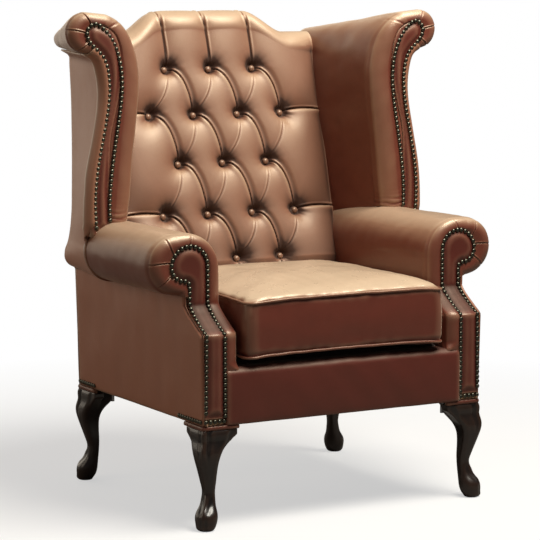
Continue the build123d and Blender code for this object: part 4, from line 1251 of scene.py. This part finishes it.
def crest_height(across):
    """The top of the back: a raised middle that falls in an S to each shoulder."""
    share = 1 - ease(HUMP_HALF, HUMP_FOOT, np.abs(across))
    return SHOULDER_TOP + (CREST_TOP - SHOULDER_TOP) * share


def paint_back_shade(piece):
    """Paints shade into the back's hide: down in the buttoned pits, most of all on their gathered side,
    towards the bottom of the back and towards its sides.
    """
    points = points_of(piece)
    across, height = points[:, 0], points[:, 2]
    wear = piece.data.attributes["wear"].data
    level = np.empty(len(points), np.float32)
    wear.foreach_get("value", level)
    shade = np.zeros(len(points))
    # Painted shade round each button, heaviest above it and to its right
    for x, z in (spot for row in button_grid() for spot in row):
        close_to = np.hypot(across - x - 0.002, height - z - 0.002)
        gathered = np.hypot(across - x - 0.010, height - z - 0.007)
        shade += 1.6 * bell(close_to, 0.016) + 0.80 * bell(gathered, 0.025)
    # Painted shade towards the bottom of the back and towards its sides, beside the wings
    low = 0.55 * np.clip((DECK_TOP + 0.36 - height) / 0.30, 0, 1)
    side = 0.35 * ease(0.17, 0.28, np.abs(across)) * (height < 0.98)
    level = np.maximum(level - np.minimum(shade, 2.2) - low - side, -1.0)
    wear.foreach_set("value", level.astype(np.float32))
    return piece


def make_back():
    """The inside back's leather: up the buttoned face, over the crest and down behind it."""
    half_low, half_high = 0.2625, 0.2850
    shares = np.linspace(-1, 1, 281)
    crest_radius = 0.044
    bottom = DECK_TOP + 0.002
    top = crest_height(shares * half_high) - crest_radius

    def half_at(height):
        return half_low + (half_high - half_low) * (height - DECK_TOP) / (SHOULDER_TOP - DECK_TOP)

    rows = []
    for share in np.linspace(0, 1, 350):
        height = bottom + (top - bottom) * share
        across = shares * np.minimum(half_at(height), half_high)
        rows.append(np.stack([across, front_face(height), height], -1))
    face = np.array(rows)
    outward = tuft_lift(face[..., 0], face[..., 2], half_at(face[..., 2]))
    outward = outward + 0.0005 * ripples(placed(face), 0.13, 51)
    # Pillows that stand out a lot are flattened by the people who have leant on them
    soft, most = 0.004, 0.009
    outward = np.where(outward > soft, soft + most * np.tanh((outward - soft) / most), outward)
    tilt = RECLINE * ease(BACK_BEND - 0.02, BACK_BEND + 0.02, face[..., 2])
    rings = list(chair_place(face[..., 0], face[..., 1] - outward * np.cos(tilt),
                             face[..., 2] + outward * np.sin(tilt)))
    # Over the crest, where the top buttons' pleats run on, and down behind
    across, depth = face[-1][:, 0], face[-1][:, 1]
    rear = rear_face(top) - 0.0045
    middle, half = (depth + rear) / 2, (rear - depth) / 2
    for turn in np.radians(np.linspace(0, 180, 34))[1:]:
        share = turn / math.pi
        pleats = np.zeros(len(shares))
        for x, _ in button_grid()[0]:
            gap = across - x - 0.002 + 0.016 * share
            pleats -= 0.0050 * bell(gap, 0.0018) + 0.0030 * fade(gap, 0.012)
            pleats += 0.0022 * bell(gap + 0.0050, 0.0026)
        off = (outward[-1] * (1 - ease(0, 0.5, share))
               + pleats * ease(0.0, 0.12, share) * (1 - ease(0.72, 1.0, share)))
        rings.append(chair_place(across, middle - (half + 0.9 * off) * math.cos(turn),
                                 top + (crest_radius + off) * math.sin(turn) - 0.001))
    top_back = np.minimum(top, 1.0) - 0.02
    inner_rear = REAR_DEPTH - 0.045
    for width, rear, height in ((across, rear_face(top_back) - 0.006, top_back),
                                (across * 0.98, rear_face(0.95) - 0.007, 0.945),
                                (across * 0.96, rear_face(0.93) - 0.045, 0.93),
                                (shares * half_low, inner_rear, bottom + 0.12),
                                (shares * half_low, inner_rear, bottom)):
        rings.append(chair_place(width, rear, height))
    piece = tube_of_rings("buttoned_back", np.array(rings).transpose(1, 0, 2))
    dress(piece, back_hide_lit, "inside_back", wear=0.0022, rub_and_highlight=0.95)
    return paint_back_shade(piece)


def make_outside_back():
    """The rear panel: it laps the side leathers a little and stops below the crest."""
    lap, shoulder, rise = 0.0015, 0.990, 0.050
    right = [(HALF_BASE, BASE_BOTTOM + 0.001), (0.3495, ROLL_FOOT[1])]
    right += [(x + lap, z) for x, z in flowing(ROLL_SIDE_REAR, 3)[::-1]]
    right += [(x + lap, z) for x, z in flowing(WING_SIDE_REAR, 3)[::-1][1:]]
    right += [(0.300, 0.982), (0.283, shoulder)]
    right += [(x, shoulder + rise * (1 - ease(HUMP_HALF, HUMP_FOOT, x)))
              for x in np.linspace(0.275, 0.0, 60)]
    left = [(-x, z) for x, z in reversed(right[:-1])]
    outline = stepped(right + left, PANEL_SPACING)

    def lift(flat, gap):
        belly = 0.0050 * (1 - fade(gap, 0.05)) - 0.0022 * fade(gap, 0.004)
        drag = bell(flat[:, 1] - 0.50, 0.03) * np.sin(flat[:, 0] * 70)
        return belly + 0.0010 * ripples(at_depth(flat, 0.0), 0.16, 61) + 0.0004 * drag

    def place(flat, rise):
        return at_depth(flat, rear_face(flat[:, 1]) + rise - 0.0005)

    piece = padded_panel("back_panel", outline, PANEL_SPACING, lift, place, HIDE_THICKNESS)
    return dress(piece, side_hide_lit, "outside_back")


def make_front_border():
    """The leather over the front rail, turned over its top towards the deck."""
    shares = np.linspace(-1, 1, 150)
    radius, top, front = 0.011, 0.334, -0.0018
    profile = [(front, z) for z in np.linspace(BASE_BOTTOM + 0.001, top - radius, 36)]
    profile += [(front + radius * (1 - math.cos(t)), top - radius + radius * math.sin(t))
                for t in np.radians(np.linspace(10, 90, 9))]
    profile += [(d, top) for d in np.linspace(0.022, 0.040, 6)]
    grid = np.array([[(s * BORDER_HALF, d, z) for s in shares] for d, z in profile])
    points = placed(grid)
    normal = outward_normals(points, (10, 70), (0, -1, 0), closed=False)
    across, height = grid[..., 0], grid[..., 2]
    share = (height - BASE_BOTTOM) / (top - BASE_BOTTOM)
    lift = 0.0030 * hump(share) * (1 - np.abs(across / BORDER_HALF) ** 6)
    lift += 0.0008 * ripples(points, 0.09, 71)
    tension = np.sin(across * 2 * math.pi / 0.043 + 1.4 * ripples(points, 0.15, 72))
    lift += 0.0002 * tension * ease(top - 0.035, top - 0.008, height)
    lift -= 0.0020 * fade(height - BASE_BOTTOM, 0.004)
    lift -= 0.0030 * ease(BORDER_HALF - 0.004, BORDER_HALF, np.abs(across))
    piece = thick_sheet("seat_front", points + normal * lift[..., None], HIDE_THICKNESS)
    return dress(piece, front_hide_shaded, "front_border", wear=0.0030)


make_back()
make_outside_back()
make_front_border()


# Seat cushion
def cushion_line(inset, count=360, drawn_in=0.0035):
    """The cushion's outline from above, its sides drawn in between soft corners."""
    half, front, rear = CUSHION_HALF - inset, CUSHION_FRONT + inset, CUSHION_REAR - inset
    corner = max(0.004, 0.026 - 0.2 * inset)
    middle = (front + rear) / 2
    half_depth = (rear - front) / 2
    line = []
    for cx, cy, start in ((1, 1, 0), (-1, 1, 90), (-1, -1, 180), (1, -1, 270)):
        centre = (cx * (half - corner), middle + cy * (half_depth - corner))
        line += [tuple(p) for p in arc(centre, corner, start, start + 90, 20)]
    line = even(np.array(line + line[:1]), count + 1)[:-1]
    x, y = line[:, 0] / half, (line[:, 1] - middle) / half_depth
    pull = np.stack([np.sign(x) * (np.abs(x) > 0.9) * (1 - y ** 2),
                     np.sign(y) * (np.abs(y) > 0.9) * (1 - x ** 2)], -1)
    return line - drawn_in * pull


def seam_drop(line):
    """The seams dip a little towards the corners and waver along the sides."""
    x, y = line[:, 0] / CUSHION_HALF, (line[:, 1] - CUSHION_MIDDLE) / CUSHION_REACH
    corner = (np.abs(x) * np.abs(y)) ** 4
    waver = np.sin(line[:, 0] * 41 + 1.0) * np.sin(line[:, 1] * 37 + 0.6)
    return -0.0055 * np.clip(corner, 0, 1) + 0.0011 * waver


def cushion_rings():
    """Rings from the middle of the underside, out and up the border, and in to the crown."""
    base = cushion_line(0.0)
    centre = np.array([0.0, CUSHION_MIDDLE])
    drop = seam_drop(base)
    shares = (np.linspace(0, 1, 46) ** 1.7)[:-1]

    def panel(seam, rise, inwards):
        for t in inwards:
            crown = (1 - (1 - t) ** 2.5) ** 0.62 if t > 0 else 0.0
            line = centre + (base - centre) * (1 - t)
            yield line, seam + rise * crown + drop * (1 - t) ** 3

    def border():
        for t in np.linspace(0, 1, 26)[1:-1]:
            bulge = 0.0030 * math.sin(math.pi * t)
            yield cushion_line(-bulge), SEAM_LOW + drop + (SEAM_HIGH - SEAM_LOW) * t

    rings = [*panel(SEAM_LOW, -0.0155, shares[::-1]), *border(), *panel(SEAM_HIGH, 0.0350, shares)]
    return np.array([chair_place(line[:, 0], line[:, 1], height) for line, height in rings])


def make_cushion():
    """The cushion's cover, gathered at its seams and fanned into folds at its corners."""
    rings = cushion_rings()
    normal = outward_normals(rings, (-20, 10), (0, 0, 1))
    height = rings[..., 2]
    x = rings[..., 0] / CUSHION_HALF
    y = (rings[..., 1] + RAIL_SETBACK - CUSHION_MIDDLE) / CUSHION_REACH
    rim = np.clip(np.maximum(np.abs(x), np.abs(y)), 0, 1)
    turn = np.arctan2(y, x)
    above_seam, above_low = height - SEAM_HIGH, height - SEAM_LOW
    near_high, near_low = fade(above_seam, 0.010), fade(above_low, 0.008)
    gather = np.sin(turn * 46 + 2.4 * ripples(rings, 0.20, 81)) * ease(0.75, 1.0, rim)
    lift = 0.0007 * gather * (near_high + near_low)
    lift -= 0.0030 * (bell(above_seam, 0.0045) + bell(above_low, 0.0045)) * (rim > 0.9)
    lift += 0.0012 * ripples(rings, 0.17, 82) * (rim < 0.99) + 0.0005 * ripples(rings, 0.06, 83)
    corner = (np.abs(x) * np.abs(y)) ** 3
    lift += 0.0011 * np.sin((np.abs(x) - np.abs(y)) * 34) * corner * near_high
    piece = tube_of_rings("seat_cushion", rings + normal * lift[..., None])
    return dress(piece, seat_hide, "cushion_cover", "cushion", rub_and_highlight=1.9)


make_cushion()


def piping(name, node, seam, seed):
    """A leather-covered cord sewn into a seam, with its own slight unevenness."""
    line = cushion_line(-0.0008, 420)
    path = chair_place(line[:, 0], line[:, 1], seam + seam_drop(line))
    path = path + 0.0003 * ripples(path, 0.05, seed)[..., None]
    along = np.roll(path, -1, 0) - np.roll(path, 1, 0)
    along /= np.linalg.norm(along, axis=1, keepdims=True)
    outward = np.cross(along, (0, 0, 1.0))
    outward /= np.linalg.norm(outward, axis=1, keepdims=True)
    rise = np.cross(outward, along)
    radius = PIPING_RADIUS * (1 + 0.05 * ripples(path, 0.03, seed + 1))
    around = 12
    rings = np.array([path + radius[:, None] * (math.cos(a) * outward + math.sin(a) * rise)
                      for a in np.arange(around) * 2 * math.pi / around]).transpose(1, 0, 2)
    faces = quads_between(len(path), around, closed=True)
    piece = turn_outwards(new_object(name, rings.reshape(-1, 3), faces))
    return dress(piece, seat_hide, node, "cushion", wear=0.0030, rub_and_highlight=0.7)


piping("upper_piping", "piping_top", SEAM_HIGH, 91)
piping("lower_piping", "piping_bottom", SEAM_LOW, 93)

# Nails and buttons, as (radius, height) profiles; a nail stands this far out of the leather
NAIL_PROUD = 0.0012
NAIL_PROFILE = ((0.0040, -0.0012), (0.0050, 0.0), (0.0049, 0.0008), (0.0040, 0.0021),
                (0.0023, 0.0030), (0, 0.0033))
BUTTON_PROFILE = ((0.0050, -0.006), (0.0072, -0.001), (0.0075, 0.0010), (0.0069, 0.0030),
                  (0.0052, 0.0048), (0.0028, 0.0058), (0, 0.0061))
nail_head = head_shape("nail_head", NAIL_PROFILE, 12)
for number, (name, towards) in enumerate((("arm_nails", (0, -1, 0)), ("wing_nails", (0, -1, 0)),
                                          ("base_nails", (1, -1, 0)))):
    for side in SIDES:
        places, facings = nail_spots(f"{name}_{side}", for_side(np.array(towards), side))
        row = set_heads(f"{name}_row_{side}", nail_head, places + facings * NAIL_PROUD, facings,
                        0.035, 0.03, 10 + number)
        dress(row, nail_metal, f"{name}_{side}", wear=0.0006)

button_head = head_shape("button_head", BUTTON_PROFILE, 20)
places, facings = nail_spots("back_buttons", (0, -1, 0.3))
buttons = set_heads("back_button_set", button_head, places, facings, 0.06, 0.03, 5)
dress(buttons, button_hide_shaded, "back_buttons", wear=0.0015)
for head in (nail_head, button_head):
    bpy.data.objects.remove(head)


# Legs: the solids' own form, softened and carved
def softened(node, name, voxel=0.0019):
    """The solid again as one even skin with its edges eased."""
    piece = turn_outwards(add_object(name, frame["nodes"][node].data.copy()))
    remesh = piece.modifiers.new("remesh", "REMESH")
    remesh.mode = "VOXEL"
    remesh.voxel_size = voxel
    smooth = piece.modifiers.new("smooth", "SMOOTH")
    smooth.iterations = 6
    smooth.factor = 0.5
    settle(piece)
    shade_smooth(piece)
    return piece


def carve_leg(name, corner):
    """A ridge between two grooves down the knee, and a ridged toe on the foot."""
    piece = softened(name, f"carved_{name}")
    points, normal = points_of(piece), normals_of(piece)
    out = np.array(corner) / math.sqrt(2)
    side = np.array([-out[1], out[0]])
    edge = np.array([corner[0] * HALF_BASE, (0 if corner[1] < 0 else REAR_DEPTH) - RAIL_SETBACK])
    off = (points[:, :2] - edge) @ side
    aside = np.abs(off)
    facing = np.clip((normal[:, :2] @ out - 0.35) / 0.3, 0, 1)
    height = points[:, 2]
    knee = 0.0035 * bell(off, 0.0045) - 0.0034 * bell(aside - 0.0105, 0.0035)
    toe = 0.0020 * bell(off, 0.004) - 0.0016 * bell(aside - 0.010, 0.004)
    foot = -0.0012 * bell(aside - 0.006, 0.003)
    lift = facing * (knee * ease(0.135, 0.180, height)
                     + toe * ease(0.030, 0.042, height) * (1 - ease(0.060, 0.075, height))
                     + foot * (1 - ease(0.022, 0.034, height)))
    points = points + normal * lift[:, None]
    points[:, 2] = np.maximum(points[:, 2], 0.0)
    move_points(piece, points)
    return dress(piece, leg_wood, name, wear=0.0012)


for end, towards_rear in (("front", -1), ("rear", 1)):
    for side, across in (("left", -1), ("right", 1)):
        carve_leg(f"{end}_leg_{side}", (across, towards_rear))


def make_welts():
    """A short rolled strip of leather on top of each leg, round the corner of the base."""
    length, stand_out, corner, foot = 0.086, 0.0025, 0.007, 0.211
    x_edge = HALF_BASE + stand_out
    line = [(x_edge - length, 0.0)]
    line += [(x, 0.0) for x in np.linspace(x_edge - 0.07, x_edge - 0.012, 8)]
    line += [(x_edge - corner + corner * math.sin(t), corner - corner * math.cos(t))
             for t in np.radians(np.linspace(0, 90, 8))]
    line = np.array(line + [(x_edge, d) for d in np.linspace(0.012, length, 9)])
    along = np.gradient(line, axis=0)
    along /= np.linalg.norm(along, axis=1, keepdims=True)
    inside = np.stack([-along[:, 1], along[:, 0]], -1)
    section = ((0.0105, 0.0), (0.002, 0.0), (0.0004, 0.0016), (-0.0002, 0.0045),
               (0.0004, 0.0074), (0.002, 0.009), (0.0105, 0.009))
    points, faces = [], []
    for side_way in (-1, 1):
        for edge, inward in ((-stand_out, 1), (REAR_DEPTH + stand_out, -1)):
            start = len(points)
            for spot, way in zip(line, inside):
                for depth, z in section:
                    x, d = spot + way * depth
                    points.append((side_way * x, edge + inward * d, foot + z))
            faces += [[start + i for i in face] for face in tube_faces(len(line), len(section))]
    piece = turn_outwards(new_object("leg_welt_set", placed(np.array(points)), faces))
    return dress(piece, facing_hide_shaded, "leg_welts", wear=0.004)


make_welts()


# Filling and linings inside
def soft_block(name, node, body, material, swell):
    """A block of filling with eased edges, inside the space its solid holds."""
    low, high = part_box(node)
    size, middle = np.array(high - low), np.array(low + high) / 2
    low, high = np.array(low), np.array(high)
    bpy.ops.mesh.primitive_cube_add(size=1)
    piece = bpy.context.object
    piece.name = name
    move_points(piece, low + (points_of(piece) + 0.5) * size)
    bevel = piece.modifiers.new("bevel", "BEVEL")
    bevel.width = min(size) * 0.3
    bevel.segments = 4
    divide = piece.modifiers.new("divide", "SUBSURF")
    divide.subdivision_type = "SIMPLE"
    divide.levels = divide.render_levels = 3
    turn_outwards(settle(piece))
    points = points_of(piece)
    inside = np.clip(1 - np.abs((points - middle) / (size / 2)), 0, 1)
    soft = np.minimum(inside[:, 0], inside[:, 1])
    points[:, 2] += swell * (ripples(points, 0.09, 101) - 1.2) * soft
    move_points(piece, np.clip(points, low, high))
    return dress(piece, material, node, body)


soft_block("cushion_foam", "cushion_core", "cushion", filling_foam, 0.0005)
soft_block("deck_pad", "deck_padding", "chair", platform_cloth, 0.0006)


def make_sheet(name, node, material, sag):
    """A thin stretched cloth that hangs a little between the rails it is tacked to."""
    low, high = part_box(node)
    x, y = np.meshgrid(np.linspace(low.x, high.x, 60), np.linspace(low.y, high.y, 60))
    share_x = (x - low.x) / (high.x - low.x)
    share_y = (y - low.y) / (high.y - low.y)
    hang = sag * 16 * share_x * (1 - share_x) * share_y * (1 - share_y)
    piece = thick_sheet(name, np.stack([x, y, high.z - 0.0002 - hang], -1), SHEET_THICKNESS)
    if points_of(piece)[:, 2].max() > high.z + 0.0004:
        piece.data.transform(Matrix.Translation((0, 0, -SHEET_THICKNESS)))
    dress(piece, material, node)
    return piece


make_sheet("underside_lining", "dust_cover", lining_cloth,
           0.0008)
make_sheet("deck_sacking", "deck_cloth", sacking_cloth, 0.0004)

# The frame keeps its solids and takes its finishes
SOLID_FINISHES = {
    "frame_wood": timber, "bolt_steel": bolt_metal, "spring_steel": spring_metal,
    "webbing_cloth": webbing_cloth,
}
slot_of = {entry["node"]: entry["material_slot"] for entry in frame["record"]["subparts"]}
for node, piece in frame["nodes"].items():
    if slot_of[node] in SOLID_FINISHES:
        piece.data.materials.clear()
        piece.data.materials.append(SOLID_FINISHES[slot_of[node]])


# Floor, backdrop and light
def set_stage():
    """A pale floor that glows white to the camera near and far, and a white room behind it."""
    wide = 9
    floor = new_object("floor", [(-wide, -wide, 0), (wide, -wide, 0), (wide, wide, 0), (-wide, wide, 0)],
                       [[0, 1, 2, 3]])
    paper = Finish("studio_floor", Roughness=0.9, Specular_IOR_Level=0.1)
    spot = paper.node("VectorMath", {"operation": "LENGTH"}, {0: paper.place()}, output="Value")
    seen = paper.node("LightPath", output="Is Camera Ray")
    paper.finish(Base_Color=paper.blend(seen, (0.20, 0.19, 0.18), (0.80, 0.80, 0.80)))
    glow = paper.tree.nodes.new("ShaderNodeEmission")
    mix = paper.tree.nodes.new("ShaderNodeMixShader")
    paper.feed(mix.inputs[0], seen * (0.55 + 0.45 * paper.between(0.7, 1.9, spot)))
    paper.tree.links.new(paper.shader.outputs[0], mix.inputs[1])
    paper.tree.links.new(glow.outputs[0], mix.inputs[2])
    paper.tree.links.new(mix.outputs[0], paper.tree.nodes["Material Output"].inputs["Surface"])
    floor.data.materials.append(paper.material)
    world = bpy.data.worlds.new("studio")
    bpy.context.scene.world = world
    world.use_nodes = True
    tree = world.node_tree
    path = tree.nodes.new("ShaderNodeLightPath")
    room = tree.nodes["Background"]
    room.inputs["Color"].default_value = (0.93, 0.95, 1.0, 1)
    room.inputs["Strength"].default_value = 0.08
    white = tree.nodes.new("ShaderNodeBackground")
    white.inputs["Color"].default_value = (1, 1, 1, 1)
    white.inputs["Strength"].default_value = 1.0
    mix = tree.nodes.new("ShaderNodeMixShader")
    tree.links.new(path.outputs["Is Camera Ray"], mix.inputs[0])
    tree.links.new(room.outputs[0], mix.inputs[1])
    tree.links.new(white.outputs[0], mix.inputs[2])
    tree.links.new(mix.outputs[0], tree.nodes["World Output"].inputs["Surface"])


def add_lamp(name, place, aim, size, power, colour):
    lamp = add_object(name, bpy.data.lights.new(name, "AREA"))
    lamp.data.shape = "RECTANGLE"
    lamp.data.size, lamp.data.size_y = size
    lamp.data.energy = power
    lamp.data.color = colour
    lamp.location = place
    lamp.visible_camera = False
    lamp.rotation_euler = (Vector(aim) - Vector(place)).to_track_quat("-Z", "Y").to_euler()


set_stage()
add_lamp("overhead", (0.7, -1.2, 3.1), (0, 0.05, 0.6), (1.9, 1.4), 150, (1.0, 0.95, 0.85))
add_lamp("backdrop", (-0.6, 3.4, 1.5), (0, 0, 0.7), (5.5, 2.6), 50, (1.0, 0.88, 0.72))
add_lamp("left_window", (-3.6, 0.6, 1.8), (0, 0, 0.6), (2.0, 2.0), 20, (1.0, 0.84, 0.66))
bpy.context.scene.view_settings.view_transform = "Standard"
